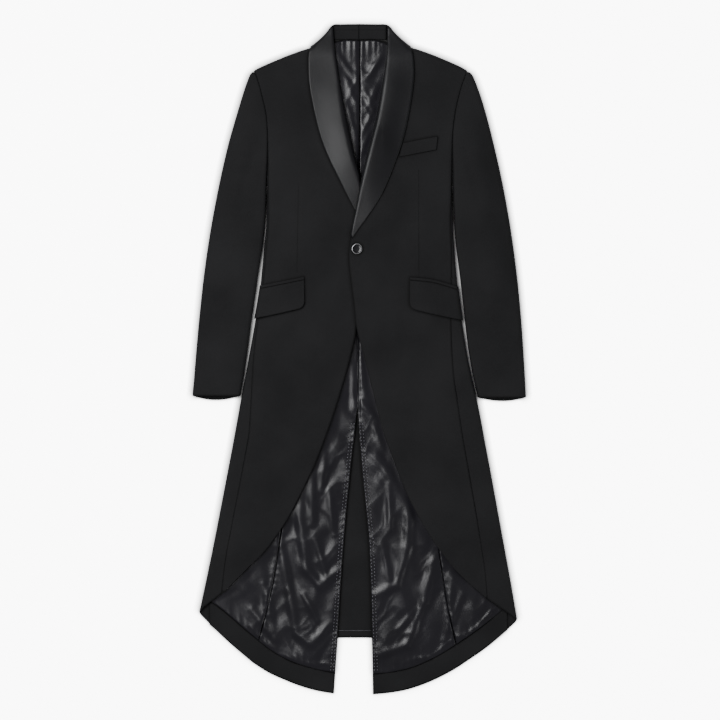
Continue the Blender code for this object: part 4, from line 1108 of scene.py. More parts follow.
class MaterialShop:
    """Makes each finish's node material once."""

    def __init__(self) -> None:
        """Start with no materials made."""
        self.made: dict[str, bpy.types.Material] = {}

    @staticmethod
    def add_node(tree: bpy.types.NodeTree, kind: str, settings: dict[str, object] | None = None,
                 links: dict[str, bpy.types.NodeSocket] | None = None) -> bpy.types.Node:
        """Add a node with its settings and the links into it.

        Args:
            tree: Node tree that takes the node.
            kind: Node type's name.
            settings: Attributes, or sockets' values where the key starts with a colon.
            links: Input sockets' names and what feeds them.

        Returns:
            The new node.
        """
        node = tree.nodes.new(kind)
        for key, value in (settings or {}).items():
            if key.startswith(":"):
                node.inputs[key[1:]].default_value = value
            else:
                setattr(node, key, value)
        for key, socket in (links or {}).items():
            tree.links.new(socket, node.inputs[key])
        return node

    def cloth(self, finish: ClothFinish) -> bpy.types.Material:
        """Give the material of a cloth finish, with painted shade where cloths meet.

        Args:
            finish: Weave, colours and gloss of the cloth.

        Returns:
            The material.
        """
        if finish.name in self.made:
            return self.made[finish.name]
        material = bpy.data.materials.new(finish.name)
        material.use_nodes = True
        tree = material.node_tree
        shader = tree.nodes["Principled BSDF"]
        shader.inputs["Roughness"].default_value = finish.roughness
        shader.inputs["Specular IOR Level"].default_value = finish.specular
        shader.inputs["Sheen Weight"].default_value = finish.sheen
        shader.inputs["Sheen Roughness"].default_value = 0.4
        shader.inputs["Sheen Tint"].default_value = srgb(finish.sheen_tint)
        shader.inputs["Anisotropic"].default_value = finish.anisotropic
        place = self.add_node(tree, "ShaderNodeTexCoord").outputs["Object"]
        blotch = self.add_node(tree, "ShaderNodeTexNoise", {":Scale": 9.0, ":Detail": 4.0},
                               {"Vector": place})
        fibre = self.add_node(tree, "ShaderNodeTexNoise", {":Scale": 900.0, ":Detail": 3.0},
                              {"Vector": place})
        tone = self.add_node(tree, "ShaderNodeMix", {"data_type": "FLOAT", "clamp_factor": True},
                             {"A": blotch.outputs["Fac"], "B": fibre.outputs["Fac"]})
        tone.inputs["Factor"].default_value = 0.45
        colour = self.add_node(tree, "ShaderNodeValToRGB", {}, {"Fac": tone.outputs["Result"]})
        colour.color_ramp.elements[0].position = 0.38
        colour.color_ramp.elements[0].color = srgb(finish.shade)
        colour.color_ramp.elements[1].position = 0.62
        colour.color_ramp.elements[1].color = srgb(finish.base)
        # Painted shade: ambient occlusion, raised to a power, darkens the colour in seams, creases
        # and under edges.
        hidden = self.add_node(tree, "ShaderNodeAmbientOcclusion",
                               {":Distance": PAINTED_SHADE_REACH * METRE, "samples": 8})
        painted_shade = self.add_node(tree, "ShaderNodeMath", {"operation": "POWER"},
                              {"Value": hidden.outputs["AO"]})
        painted_shade.inputs[1].default_value = PAINTED_SHADE_DEPTH
        # Painted shade: the colour is multiplied by the occlusion, darkening where one cloth meets
        # another.
        # Sockets 6, 7 and 2 of a Mix node are its colours A, B and Result.
        painted_shade_colour = self.add_node(tree, "ShaderNodeMix",
                               {"data_type": "RGBA", "blend_type": "MULTIPLY", ":Factor": 1.0})
        tree.links.new(colour.outputs["Color"], painted_shade_colour.inputs[6])
        tree.links.new(painted_shade.outputs[0], painted_shade_colour.inputs[7])
        tree.links.new(painted_shade_colour.outputs[2], shader.inputs["Base Color"])
        turn = math.radians(45.0 if finish.weave is Weave.TWILL else 90.0)
        turned = self.add_node(tree, "ShaderNodeMapping", {":Rotation": (0.0, 0.0, turn)},
                               {"Vector": place})
        ribs = self.add_node(tree, "ShaderNodeTexWave",
                             {"wave_type": "BANDS", "bands_direction": "X",
                              ":Scale": 0.314 / (finish.thread_mm * METRE),
                              ":Distortion": 1.2, ":Detail": 2.0, ":Detail Scale": 2.0},
                             {"Vector": turned.outputs["Vector"]})
        height = self.add_node(tree, "ShaderNodeMix", {"data_type": "FLOAT"},
                               {"A": ribs.outputs["Fac"], "B": fibre.outputs["Fac"]})
        height.inputs["Factor"].default_value = 0.35
        bump = self.add_node(tree, "ShaderNodeBump",
                             {":Strength": finish.bump, ":Distance": 0.0003},
                             {"Height": height.outputs["Result"]})
        tree.links.new(bump.outputs["Normal"], shader.inputs["Normal"])
        material.diffuse_color = srgb(finish.base)
        self.made[finish.name] = material
        return material

    def hard(self, finish: HardFinish) -> bpy.types.Material:
        """Give the material of a metal or resin finish.

        Args:
            finish: Colour, metal and gloss of the piece.

        Returns:
            The material.
        """
        if finish.name in self.made:
            return self.made[finish.name]
        material = bpy.data.materials.new(finish.name)
        material.use_nodes = True
        tree = material.node_tree
        shader = tree.nodes["Principled BSDF"]
        shader.inputs["Base Color"].default_value = srgb(finish.base)
        shader.inputs["Metallic"].default_value = finish.metallic
        place = self.add_node(tree, "ShaderNodeTexCoord").outputs["Object"]
        wear = self.add_node(tree, "ShaderNodeTexNoise",
                             {":Scale": 1.0 / (finish.scratch_mm * METRE), ":Detail": 5.0},
                             {"Vector": place})
        rough = self.add_node(tree, "ShaderNodeMapRange",
                              {":To Min": finish.roughness * 0.8,
                               ":To Max": finish.roughness * 1.3},
                              {"Value": wear.outputs["Fac"]})
        tree.links.new(rough.outputs["Result"], shader.inputs["Roughness"])
        material.diffuse_color = srgb(finish.base)
        self.made[finish.name] = material
        return material


def new_piece(name: str, points: Sequence[Point3], faces: Sequence[Sequence[int]],
              ) -> bpy.types.Object:
    """Make a smooth mesh object and put it in the scene.

    Args:
        name: The object's name.
        points: Its corners.
        faces: The corners of each face, by number.

    Returns:
        The new object.
    """
    mesh = bpy.data.meshes.new(name)
    mesh.from_pydata(points, [], faces)
    mesh.shade_smooth()
    piece = bpy.data.objects.new(name, mesh)
    bpy.context.scene.collection.objects.link(piece)
    return piece


def sew_on(piece: bpy.types.Object, finish: ClothFinish, shop: MaterialShop) -> None:
    """Give a sewn piece its thread and let it ride with the coat.

    Args:
        piece: The sewn piece.
        finish: What it is sewn with.
        shop: Where its material is made.
    """
    piece.data.materials.append(shop.cloth(finish))
    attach(piece, "root")


def resample(points: np.ndarray, count: int) -> np.ndarray:
    """Read a smooth curve through points at evenly spaced places along it.

    Args:
        points: Points in order, one a row.
        count: How many points to give back.

    Returns:
        The new points, with the same first and last.
    """
    steps = np.maximum(np.linalg.norm(np.diff(points, axis=0), axis=1), 1e-7)
    along = np.concatenate([[0.0], np.cumsum(steps)])
    slope = np.diff(points, axis=0) / steps[:, None]
    tangent = np.empty_like(points)
    tangent[0], tangent[-1] = slope[0], slope[-1]
    if len(points) > 2:
        share = steps[:-1] / (steps[:-1] + steps[1:])
        # Beside a tight roll, a long flat step keeps its own slope, so that it doesn't bulge.
        uneven = np.abs(share - 0.5) > 0.25
        share = np.where(uneven, 1.0 - share, share)[:, None]
        tangent[1:-1] = slope[:-1] * (1.0 - share) + slope[1:] * share
    wanted = np.linspace(0.0, along[-1], count)
    index = np.clip(np.searchsorted(along, wanted, side="right") - 1, 0, len(steps) - 1)
    t = ((wanted - along[index]) / steps[index])[:, None]
    step = steps[index][:, None]
    low, high = points[index], points[index + 1]
    return (low * (2 * t ** 3 - 3 * t ** 2 + 1) + tangent[index] * step * (t ** 3 - 2 * t ** 2 + t)
            + high * (-2 * t ** 3 + 3 * t ** 2) + tangent[index + 1] * step * (t ** 3 - t ** 2))


def refine(grid: Grid, spacing: float) -> np.ndarray:
    """Turn a panel's coarse rows into a fine, smooth net.

    Args:
        grid: Rows of points.
        spacing: Distance between the net's points in metres.

    Returns:
        An array of rows, columns and coordinates.
    """
    coarse = np.array(grid, float)
    across = np.linalg.norm(np.diff(coarse, axis=1), axis=2).sum(axis=1).max()
    down = np.linalg.norm(np.diff(coarse, axis=0), axis=2).sum(axis=0).max()
    columns = max(int(math.ceil(across / spacing)) + 1, 4)
    rows = max(int(math.ceil(down / spacing)) + 1, 4)
    wide = np.stack([resample(row, columns) for row in coarse])
    return np.stack([resample(wide[:, i], rows) for i in range(columns)], axis=1)


def fold_relief(folds: Sequence[Fold], x: np.ndarray, y: np.ndarray) -> np.ndarray:
    """Add up soft ridges and troughs at scene places.

    Args:
        folds: Ridges, with a negative height for a trough.
        x: Scene x in millimetres.
        y: Scene y in millimetres.

    Returns:
        Heights in millimetres.
    """
    height = np.zeros_like(x)
    for fold in folds:
        dx, dy = fold.x2 - fold.x1, fold.y2 - fold.y1
        along = ((x - fold.x1) * dx + (y - fold.y1) * dy) / (dx * dx + dy * dy)
        near = np.clip(along, 0.0, 1.0)
        away = np.hypot(x - fold.x1 - near * dx, y - fold.y1 - near * dy)
        taper = 0.55 + 0.45 * np.sin(np.pi * near)
        height += fold.height * taper * np.exp(-(away / fold.width) ** 2)
    return height


# Creases of the wool, as a ridge or, with a negative height, a trough.
WOOL_CREASES = [
    Fold(-60, 200, -190, 330, 20, 0.9), Fold(-30, 180, -150, 120, 22, -0.8),
    Fold(40, 190, 175, 320, 20, 0.9), Fold(20, 170, 140, 100, 22, -0.8),
    Fold(-170, 330, -150, 60, 16, 0.8), Fold(172, 330, 156, 60, 16, 0.8),
    Fold(-60, 60, -150, -120, 26, -0.9), Fold(60, 40, 170, -150, 28, -0.9),
    Fold(-90, -60, -210, -330, 30, 1.0), Fold(100, -80, 225, -340, 30, 1.0),
    Fold(-150, 560, -120, 420, 26, 0.8), Fold(150, 560, 124, 420, 26, 0.8),
    Fold(-222, 470, -262, 260, 14, 1.2), Fold(-200, 440, -236, 330, 9, -1.0),
    Fold(-240, 240, -300, 170, 13, 0.9), Fold(-236, 150, -306, 100, 12, -0.9),
    Fold(-262, 60, -290, -60, 16, 0.9), Fold(228, 470, 268, 270, 14, 1.2),
    Fold(204, 440, 240, 320, 9, -1.0), Fold(238, 220, 306, 150, 13, 0.9),
    Fold(234, 130, 310, 84, 12, -0.9), Fold(270, 40, 292, -60, 16, 0.9),
]
# Larger swags of the lining between the tails and in the neck.
LINING_SWAGS = [
    Fold(-123, -300, -104, -420, 9, 3.2), Fold(-104, -420, -78, -452, 8, 2.8),
    Fold(-78, -452, -44, -424, 8, 2.4), Fold(-158, -370, -140, -462, 9, 2.8),
    Fold(-140, -462, -126, -548, 8, 3.0), Fold(-126, -548, -96, -568, 8, 2.4),
    Fold(-96, -568, -54, -526, 8, 2.2), Fold(-70, -190, -74, -262, 8, 2.4),
    Fold(-60, -262, -50, -350, 7, 2.2), Fold(-98, -236, -92, -330, 8, 2.2),
    Fold(-190, -450, -172, -540, 8, 2.0), Fold(-214, -500, -168, -560, 7, 1.8),
    Fold(-86, -360, -66, -430, 6, 1.8), Fold(-110, -470, -84, -520, 6, 1.8),
    Fold(104, -272, 96, -380, 9, 3.2), Fold(96, -380, 76, -450, 8, 3.0),
    Fold(76, -450, 34, -470, 8, 2.2), Fold(150, -398, 130, -486, 9, 2.8),
    Fold(130, -486, 96, -570, 8, 3.0), Fold(96, -570, 42, -590, 8, 2.2),
    Fold(36, -196, 74, -252, 9, 2.6), Fold(60, -250, 62, -340, 7, 2.2),
    Fold(4, -86, 40, -122, 7, 2.2), Fold(30, -130, 50, -176, 7, 1.8),
    Fold(186, -440, 176, -540, 8, 2.0), Fold(206, -470, 170, -560, 7, 1.8),
    Fold(48, -370, 60, -440, 6, 1.6), Fold(112, -500, 78, -540, 6, 1.6),
    Fold(-14, -20, -10, -100, 7, 1.6), Fold(8, 20, 12, -70, 7, 1.4),
    Fold(-42, 606, -14, 566, 6, 3.4), Fold(-30, 570, -8, 516, 6, 3.2),
    Fold(-6, 556, -34, 500, 5, 3.0), Fold(-22, 500, -6, 440, 5, 3.0),
    Fold(44, 604, 14, 560, 6, 3.6), Fold(48, 566, 16, 500, 7, 3.8),
    Fold(10, 540, 34, 486, 5, 2.8), Fold(32, 506, 8, 452, 6, 3.2),
    Fold(24, 462, 4, 410, 5, 2.6), Fold(-14, 452, -2, 400, 5, 2.4),
]


def line_of(table: Sequence[At], y: np.ndarray) -> np.ndarray:
    """Read a table of outward places at many heights at once."""
    rows = sorted(table, key=lambda row: row[0])
    return np.interp(y, [row[0] for row in rows], [row[1] for row in rows])


def roll_lift(x: np.ndarray, y: np.ndarray) -> np.ndarray:
    """Give how far the lapels' roll stands up along the open neck.

    Args:
        x: Scene x in millimetres.
        y: Scene y in millimetres.

    Returns:
        Heights in millimetres.
    """
    low = np.clip((y - 290.0) / 110.0, 0.0, 1.0)
    high = np.clip((618.0 - y) / np.where(x < 0.0, 220.0, 80.0), 0.0, 1.0)
    along = low * low * (3.0 - 2.0 * low) * high * high * (3.0 - 2.0 * high)
    right = -x - line_of(FRONT_EDGE["right"], y)
    left = x - line_of(FRONT_EDGE["left"], y)
    away = np.clip(np.where(x < 0.0, right, left), 0.0, None)
    dip = np.where(x < 0.0, 1.8, 0.0) * np.exp(-((y - 556.0) / 34.0) ** 2)
    return (6.0 * along - dip) * np.exp(-(away / 40.0) ** 2) * (np.abs(x) < 150.0)


def wool_relief(x: np.ndarray, y: np.ndarray) -> np.ndarray:
    """Give the soft unevenness of the wool panels and what lies on them.

    Args:
        x: Scene x in millimetres.
        y: Scene y in millimetres.

    Returns:
        Heights in millimetres.
    """
    slow = 0.35 * np.sin(x / 47.0 + 0.6 * np.sin(y / 83.0)) * np.sin(y / 71.0 + 1.3)
    small = 0.12 * np.sin(x / 13.0 + y / 29.0) * np.sin(y / 17.0 - x / 41.0)
    return fold_relief(WOOL_CREASES, x, y) + slow + small + roll_lift(x, y)


def flap_relief(x: np.ndarray, y: np.ndarray) -> np.ndarray:
    """Give the unevenness of a flap, whose lower edge stands off the front."""
    hang = np.clip((159.0 - 0.18 * (np.abs(x) - 104.0) - y) / 57.0, 0.0, 1.0)
    return wool_relief(x, y) + 0.4 + 2.8 * hang


def welt_relief(x: np.ndarray, y: np.ndarray) -> np.ndarray:
    """Give the unevenness of the welt, whose upper edge stands off the front."""
    rise = np.clip((y - 403.0 - 0.2 * (x - 80.0)) / 28.0, 0.0, 1.0)
    return wool_relief(x, y) + 0.4 * rise


LINING_SEAM = {name: [At(y, CoatSide(name).back_seam(y, -0.3)[0])
                      for y in (-250.0, -350.0, -450.0, -550.0, -650.0)]
               for name in ("right", "left")}


def crease(phase: np.ndarray, sharp: float) -> np.ndarray:
    """Give a row of narrow ridges with wide, flat valleys."""
    return (1.0 - np.abs(np.sin(phase))) ** sharp


def vent_gap(x: np.ndarray, y: np.ndarray) -> np.ndarray:
    """Give the distance to the nearer edge of the vent.

    Args:
        x: Scene x in millimetres.
        y: Scene y in millimetres.

    Returns:
        Distances in millimetres.
    """
    right = -x - line_of(BACK_EDGE["right"], y)
    left = x - line_of(BACK_EDGE["left"], y)
    return np.clip(np.where(x < 0.5 * (line_of(BACK_EDGE["left"], y)
                                       - line_of(BACK_EDGE["right"], y)), right, left), 0.0, None)


def facing_gap(x: np.ndarray, y: np.ndarray) -> np.ndarray:
    """Give the height over the line where the lining meets the hem's facing.

    Args:
        x: Scene x in millimetres.
        y: Scene y in millimetres.

    Returns:
        Distances in millimetres.
    """
    levels = []
    for name in ("right", "left"):
        rows = sorted(FACING_LINE[name], key=lambda row: row[0])
        levels.append(np.interp(np.abs(x), [row[0] for row in rows], [row[1] for row in rows]))
    return np.clip(y - np.where(x < 0.0, levels[0], levels[1]), 0.0, None)


def front_gap(x: np.ndarray, y: np.ndarray) -> np.ndarray:
    """Give how far inside a front's free edge a place is."""
    return np.where(x < 0.0, line_of(FRONT_EDGE["right"], y) + x,
                    line_of(FRONT_EDGE["left"], y) - x)


def lining_relief(x: np.ndarray, y: np.ndarray) -> np.ndarray:
    """Give the swags, gathers and ripples of the satin lining.

    Args:
        x: Scene x in millimetres.
        y: Scene y in millimetres.

    Returns:
        Heights in millimetres, never below the lining's rest.
    """
    swags = fold_relief(LINING_SWAGS, x, y)
    # Crumples: warped places, patches of more and less, low mounds and sharp crossing ridges.
    u = x + 8.0 * np.sin(y / 23.0 + 1.1) + 3.5 * np.sin(y / 9.3 + x / 17.0)
    v = y + 9.0 * np.sin(x / 17.0 + 0.7) + 4.0 * np.sin(x / 7.9 - y / 23.0)
    patch = 0.5 + 0.5 * np.sin(x / 29.0 + 1.9 * np.sin(y / 37.0))
    other = 0.5 + 0.5 * np.sin(y / 31.0 - 1.6 * np.sin(x / 33.0) + 0.8)
    mound = np.sin(u / 11.5 + 0.9 * np.sin(v / 21.0)) * np.sin(v / 17.0 + 0.7 * np.sin(u / 19.0))
    crumple = 1.25 * mound + 1.1 * patch * crease(u / 21.0 + v / 47.0, 1.6)
    crumple += 0.9 * other * crease(v / 19.0 - u / 39.0, 1.6)
    crumple += 0.7 * patch * other * crease(u / 9.5 - v / 12.0, 1.6)
    # In the neck the swags are lower, and the cloth is gathered under the stand.
    in_neck = np.clip((y - 300.0) / 40.0, 0.0, 1.0)
    swags = swags * (1.0 - 0.55 * in_neck)
    crumple = crumple + 0.8 * in_neck * patch * crease(v / 9.0 + u / 13.0, 1.4)
    under = 632.0 - y + 3.0 * np.sin(x / 5.0)
    neck = 1.7 * in_neck * np.exp(-np.clip(under, 0.0, None) / 17.0)
    neck *= crease(x / 3.1 + 0.8 * np.sin(x / 7.0), 1.0)
    # In the tails the cloth is gathered along the vent and over the hem's facing.
    below = np.clip((-110.0 - y) / 20.0, 0.0, 1.0)
    edge = vent_gap(x, y)
    along = y / 3.6 + 1.1 * np.sin(y / 15.0) + edge / 9.0
    vent = below * (1.3 * np.exp(-edge / 7.0) * crease(along, 1.0)
                    + 0.8 * np.exp(-edge / 20.0) * patch * crease(along / 2.3, 1.3))
    rise = facing_gap(x, y)
    hem = below * (1.5 * np.exp(-rise / 12.0) * crease(x / 5.2 + 1.2 * np.sin(x / 17.0), 1.1)
                   + 1.1 * np.exp(-((rise - 11.0 - 4.0 * np.sin(x / 13.0)) / 5.0) ** 2) * other)
    # All together, held under 6 mm, and lowered where the facing and the fronts press on it.
    whole = 1.0 + 1.5 * swags + crumple + neck + vent + hem
    whole = 6.0 * np.tanh(0.5 * (whole + np.hypot(whole, 0.4)) / 6.0)
    whole *= 0.25 + 0.75 * np.clip(rise / 3.0, 0.0, 1.0)
    cut = 0.65 * front_gap(x, y)
    near = np.exp(-(cut / 9.0) ** 2)
    shown = whole * (1.0 - near) + np.where(x < 0.0, 3.2, 0.15) * near
    hidden = 0.2 + np.where(x < 0.0, 3.0, 0.0) * np.exp(-(cut / 22.0) ** 2)
    whole = np.where(cut > 0.0, shown, hidden)
    # Seams pull the cloth down, with puckers beside them.
    centre = np.where(y > -122.0, np.abs(x), 400.0)
    outer = np.where(x < 0.0, np.abs(-x - line_of(LINING_SEAM["right"], y)),
                     np.abs(x - line_of(LINING_SEAM["left"], y)))
    sewn = np.minimum(centre, outer)
    beat = 0.6 * np.exp(-(sewn / 8.0) ** 2) * crease(y / 4.4, 1.2)
    closed = 0.9 * np.exp(-(centre / 2.4) ** 2) + 0.55 * np.exp(-(outer / 1.8) ** 2)
    return (whole + beat) * (1.0 - closed)


@dataclass
class ClothPanel:
    """A fine cloth shell on the rows of its panel."""

    node: str
    grid: Grid
    thickness: float
    finish: ClothFinish
    upward: bool = True
    spacing: float = 0.006
    relief: Callable[[np.ndarray, np.ndarray], np.ndarray] | None = None
    rests_on: tuple[str, ...] = ()
    edging: tuple[str, ...] = ()
    is_edging: bool = False
    stands_for: tuple[str, ...] = ()

    def make(self, shop: MaterialShop) -> bpy.types.Object:
        """Args:
            shop: Where its material is made.

        Returns:
            The new object.
        """
        net = refine(self.grid, self.spacing)
        net[..., 2] = np.maximum(net[..., 2], 0.0)
        width = float(np.linalg.norm(np.diff(net, axis=1), axis=2).sum(axis=1).max())
        length = float(np.linalg.norm(np.diff(net, axis=0), axis=2).sum(axis=0).max())
        sides = np.cross(net[1:, 1:] - net[:-1, :-1], net[1:, :-1] - net[:-1, 1:])
        area = float(np.linalg.norm(sides, axis=2).sum() / 2.0)
        normal = np.cross(np.gradient(net, axis=1), np.gradient(net, axis=0))
        normal /= np.maximum(np.linalg.norm(normal, axis=2), 1e-12)[..., None]
        if (normal[..., 2].sum() > 0.0) != self.upward:
            normal = -normal
        if self.relief is not None:
            lift = self.relief(net[..., 0] * 1000.0, net[..., 1] * 1000.0) * METRE
            net = net + normal * (lift * np.clip(normal[..., 2], 0.0, 1.0))[..., None]
        piece = self.mesh_object(net)
        piece.data.materials.append(shop.cloth(self.finish))
        shell = piece.modifiers.new("Cloth thickness", "SOLIDIFY")
        shell.thickness = self.thickness * METRE
        shell.offset = -1.0
        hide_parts(*(self.stands_for or (self.node,)))
        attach(piece, "root")
        area = min(max(area, 0.31 * width * length), width * length)
        LOG.info("%s: %.0f x %.0f mm, %.4f square metres", self.node, width * 1000.0,
                 length * 1000.0, area)
        return piece

    def mesh_object(self, net: np.ndarray) -> bpy.types.Object:
        """Make a mesh object from the net, with its outer face the right way.

        Args:
            net: Rows and columns of points.

        Returns:
            The object, in the scene.
        """
        rows, columns = net.shape[:2]
        index = np.arange(rows * columns).reshape(rows, columns)
        quads = np.stack([index[:-1, :-1], index[:-1, 1:], index[1:, 1:], index[1:, :-1]], axis=-1)
        quads = quads.reshape(-1, 4)
        flat = net.reshape(-1, 3)
        facing = np.cross(flat[quads[:, 1]] - flat[quads[:, 0]],
                          flat[quads[:, 3]] - flat[quads[:, 0]])[:, 2].sum()
        if (facing > 0.0) != self.upward:
            quads = quads[:, ::-1]
        return new_piece(self.node + "_cloth", flat.tolist(), quads.tolist())


@dataclass
class Stitching:
    """A row of short threads along a line on the cloth."""

    name: str
    line: list[Point3]
    pitch: float
    length: float
    radius: float = 0.00032
    finish: ClothFinish = PALE_PAINTED_SILK_THREAD

    def make(self, shop: MaterialShop) -> bpy.types.Object:
        """Build the threads as one mesh.

        Args:
            shop: Where its material is made.

        Returns:
            The new object.
        """
        points = np.array(self.line, float)
        total = np.linalg.norm(np.diff(points, axis=0), axis=1).sum()
        even = resample(points, max(int(total / self.pitch), 2))
        work = bmesh.new()
        for first, second in zip(even[:-1], even[1:]):
            middle = Vector((first + second) / 2.0)
            along = Vector(second - first).normalized()
            made = bmesh.ops.create_icosphere(work, subdivisions=1, radius=1.0)["verts"]
            turn = along.to_track_quat("X", "Z").to_matrix()
            for vert in made:
                scaled = Vector((vert.co.x * self.length / 2.0, vert.co.y * self.radius,
                                 vert.co.z * self.radius))
                vert.co = middle + turn @ scaled
        piece = new_piece(self.name, [], [])
        work.to_mesh(piece.data)
        work.free()
        piece.data.shade_smooth()
        sew_on(piece, self.finish, shop)
        LOG.info("%s: %d threads", self.name, len(even) - 1)
        return piece


@dataclass
class SeamThread:
    """An unbroken sewn line that closes or marks a seam."""

    name: str
    line: list[Point3]
    radius: float
    finish: ClothFinish = PALE_PAINTED_SILK_THREAD
    sides: int = 6

    def make(self, shop: MaterialShop) -> bpy.types.Object:
        """Build the line as a slim tube.

        Args:
            shop: Where its material is made.

        Returns:
            The new object.
        """
        points = np.array(self.line, float)
        total = float(np.linalg.norm(np.diff(points, axis=0), axis=1).sum())
        points = resample(points, max(int(total / 0.008), 4))
        along = np.gradient(points, axis=0)
        along /= np.linalg.norm(along, axis=1)[:, None]
        across = np.cross(along, (0.0, 0.0, 1.0))
        across /= np.linalg.norm(across, axis=1)[:, None]
        over = np.cross(across, along)
        turns = np.linspace(0.0, 2.0 * math.pi, self.sides, endpoint=False)
        rings = [points + self.radius * (math.cos(a) * across + math.sin(a) * over) for a in turns]
        verts = np.stack(rings, axis=1).reshape(-1, 3)
        quads = []
        for row in range(len(points) - 1):
            for i in range(self.sides):
                j = (i + 1) % self.sides
                quads.append((row * self.sides + i, row * self.sides + j,
                              (row + 1) * self.sides + j, (row + 1) * self.sides + i))
        piece = new_piece(self.name, verts.tolist(), quads)
        sew_on(piece, self.finish, shop)
        LOG.info("%s: %.0f mm of seam", self.name, total * 1000.0)
        return piece


# Ends of the front darts, and the rows of picked stitches beside the vent: how far in each lies
# in millimetres, and each stitch's pitch, length and thickness in metres.
DARTS = {"right": [(120.6, 352.0), (124.0, 174.0)], "left": [(118.6, 378.0), (119.4, 163.0)]}
PICKED_ROWS = (3.6, 9.2)
PICKED_STITCH = (0.0066, 0.0038, 0.0012)


@dataclass
class HalfCoat:
    """All cloth of one side of the coat."""

    side: CoatSide
    shop: MaterialShop
    panels: list[ClothPanel] = field(default_factory=list)

    def lay_out(self) -> None:
        """List the panels of this side and what each lies on."""
        side, name = self.side, self.side.name
        wool, satin, lining = WORSTED_TWILL, DUCHESS_SATIN, LINING_SATIN
        back, side_panel = "back_" + name, "side_" + name
        front, lined, jet = "front_" + name, "lining_back_" + name, "jet_" + name
        self.panels = [
            ClothPanel(back, side.back_grid(), WOOL, wool, upward=False, spacing=0.009),
            ClothPanel(side_panel, side.side_grid(), WOOL, wool, upward=False,
                       rests_on=(back,)),
            ClothPanel(jet, side.pocket_grid("jet"), TRIM, wool, spacing=0.002,
                       relief=wool_relief, is_edging=True),
            ClothPanel(front, side.front_grid(), WOOL, wool, spacing=0.005, relief=wool_relief,
                       rests_on=(lined, side_panel), edging=(jet,)),
            ClothPanel("top_sleeve_" + name, side.sleeve_grid(False), WOOL, wool, spacing=0.005,
                       relief=wool_relief, rests_on=("under_sleeve_" + name,),
                       stands_for=("top_sleeve_upper_" + name, "top_sleeve_lower_" + name)),
            ClothPanel("under_sleeve_" + name, side.sleeve_grid(True), WOOL, wool, upward=False,
                       spacing=0.008),
            ClothPanel("shawl_" + name, side.shawl_grid(), SATIN, satin, spacing=0.004,
                       relief=wool_relief, rests_on=(front,)),
            ClothPanel("collar_fall_" + name, side.fall_grid(), SATIN, satin, upward=False,
                       spacing=0.004),
            ClothPanel("neck_stand_" + name, side.stand_grid(), WOOL, wool, spacing=0.003,
                       rests_on=("collar_fall_" + name,)),
            ClothPanel(lined, side.lining_back_grid(), LINING, lining, spacing=0.0026,
                       relief=lining_relief, rests_on=(back,)),
            ClothPanel("lining_side_" + name, side.lining_side_grid(), LINING, lining,
                       spacing=0.0026, relief=lining_relief, rests_on=(side_panel,)),
            ClothPanel("hem_facing_" + name, side.facing_grid(), LINING, wool, spacing=0.004,
                       rests_on=(back, side_panel)),
            ClothPanel("flap_" + name, side.pocket_grid("flap"), TRIM, wool, spacing=0.003,
                       relief=flap_relief, rests_on=(front, side_panel)),
        ]

    def make(self) -> None:
        """Build every panel of this side."""
        self.lay_out()
        for panel in self.panels:
            panel.make(self.shop)
        self.sew()

    def front_line(self, ends: Sequence[Point2], lift: float = 0.1) -> list[Point3]:
        """Lay a line on the front's face.

        Args:
            ends: Outward x and y of the line's corners.
            lift: Height over the cloth in millimetres.

        Returns:
            Scene points.
        """
        line = []
        for (x1, y1), (x2, y2) in zip(ends[:-1], ends[1:]):
            for t in spread(10):
                x, y = mix(x1, x2, t), mix(y1, y2, t)
                z = self.side.front_point(x, y)[2] + lift
                z += wool_relief(np.array([SIGN[self.side.name] * x]), np.array([y]))[0]
                line.append(self.side.place((x, y, z)))
        return line

    def sew_seams(self) -> None:
        """Close the armhole and the lining's side seam, and mark the dart."""
        name = self.side.name
        holes = [self.side.place((smooth_value(ARMHOLE[name], y) + 0.15, y, FOLD_RADIUS))
                 for y in np.linspace(571.0, 346.0, 18)]
        SeamThread("armhole_seam_" + name, holes, 0.0012, WORSTED_TWILL, 8).make(self.shop)
        sides = []
        for y in np.linspace(-290.0, -640.0, 20):
            x = self.side.back_seam(y, -0.15)[0]
            if y > smooth_value(FACING_LINE[name], x) + 1.0:
                sides.append(self.side.lining_point(x, y))
        sides = [(x, y, z - 0.0004) for x, y, z in sides]
        SeamThread("lining_side_seam_" + name, sides, 0.0005, LINING_SATIN).make(self.shop)
        seam = []
        for y in np.linspace(332.0, FRONT_END[name] + 6.0, 70):
            x = self.side.wrap(y, smooth_value(SIDE_SEAM_TOP[name], y))[0]
            seam.append(self.side.place((x, y, self.side.front_point(x, y)[2] - 0.5)))
        SeamThread("side_seam_" + name, seam, 0.0005, WORSTED_TWILL).make(self.shop)
        rows = self.side.stand_grid()
        for number, column in enumerate((4, 5)):
            line = [(row[column][0], row[column][1], row[column][2]) for row in rows]
            SeamThread("stand_stitch_%s_%d" % (name, number + 1), line, 0.0003,
                       WORSTED_TWILL).make(self.shop)
        SeamThread("dart_" + name, self.front_line(DARTS[name], -0.12), 0.0004,
                   WORSTED_TWILL).make(self.shop)

    def sew(self) -> None:
        """Add the picked stitches along the vent's edge."""
        self.sew_seams()
        for number, inset in enumerate(PICKED_ROWS):
            line = []
            for t in spread(150):
                y = mix(-126.0, -624.0, t)
                x = smooth_value(BACK_EDGE[self.side.name], y) + inset
                scene_x = SIGN[self.side.name] * x
                bump = lining_relief(np.array([scene_x]), np.array([y]))[0]
                z = back_rise(scene_x, y, LINED_MARGIN) + WOOL + SEAM + LINING + bump + 0.15
                line.append(self.side.place((x, y, z)))
            Stitching("vent_stitches_%s_%d" % (self.side.name, number + 1), line,
                      *PICKED_STITCH).make(self.shop)


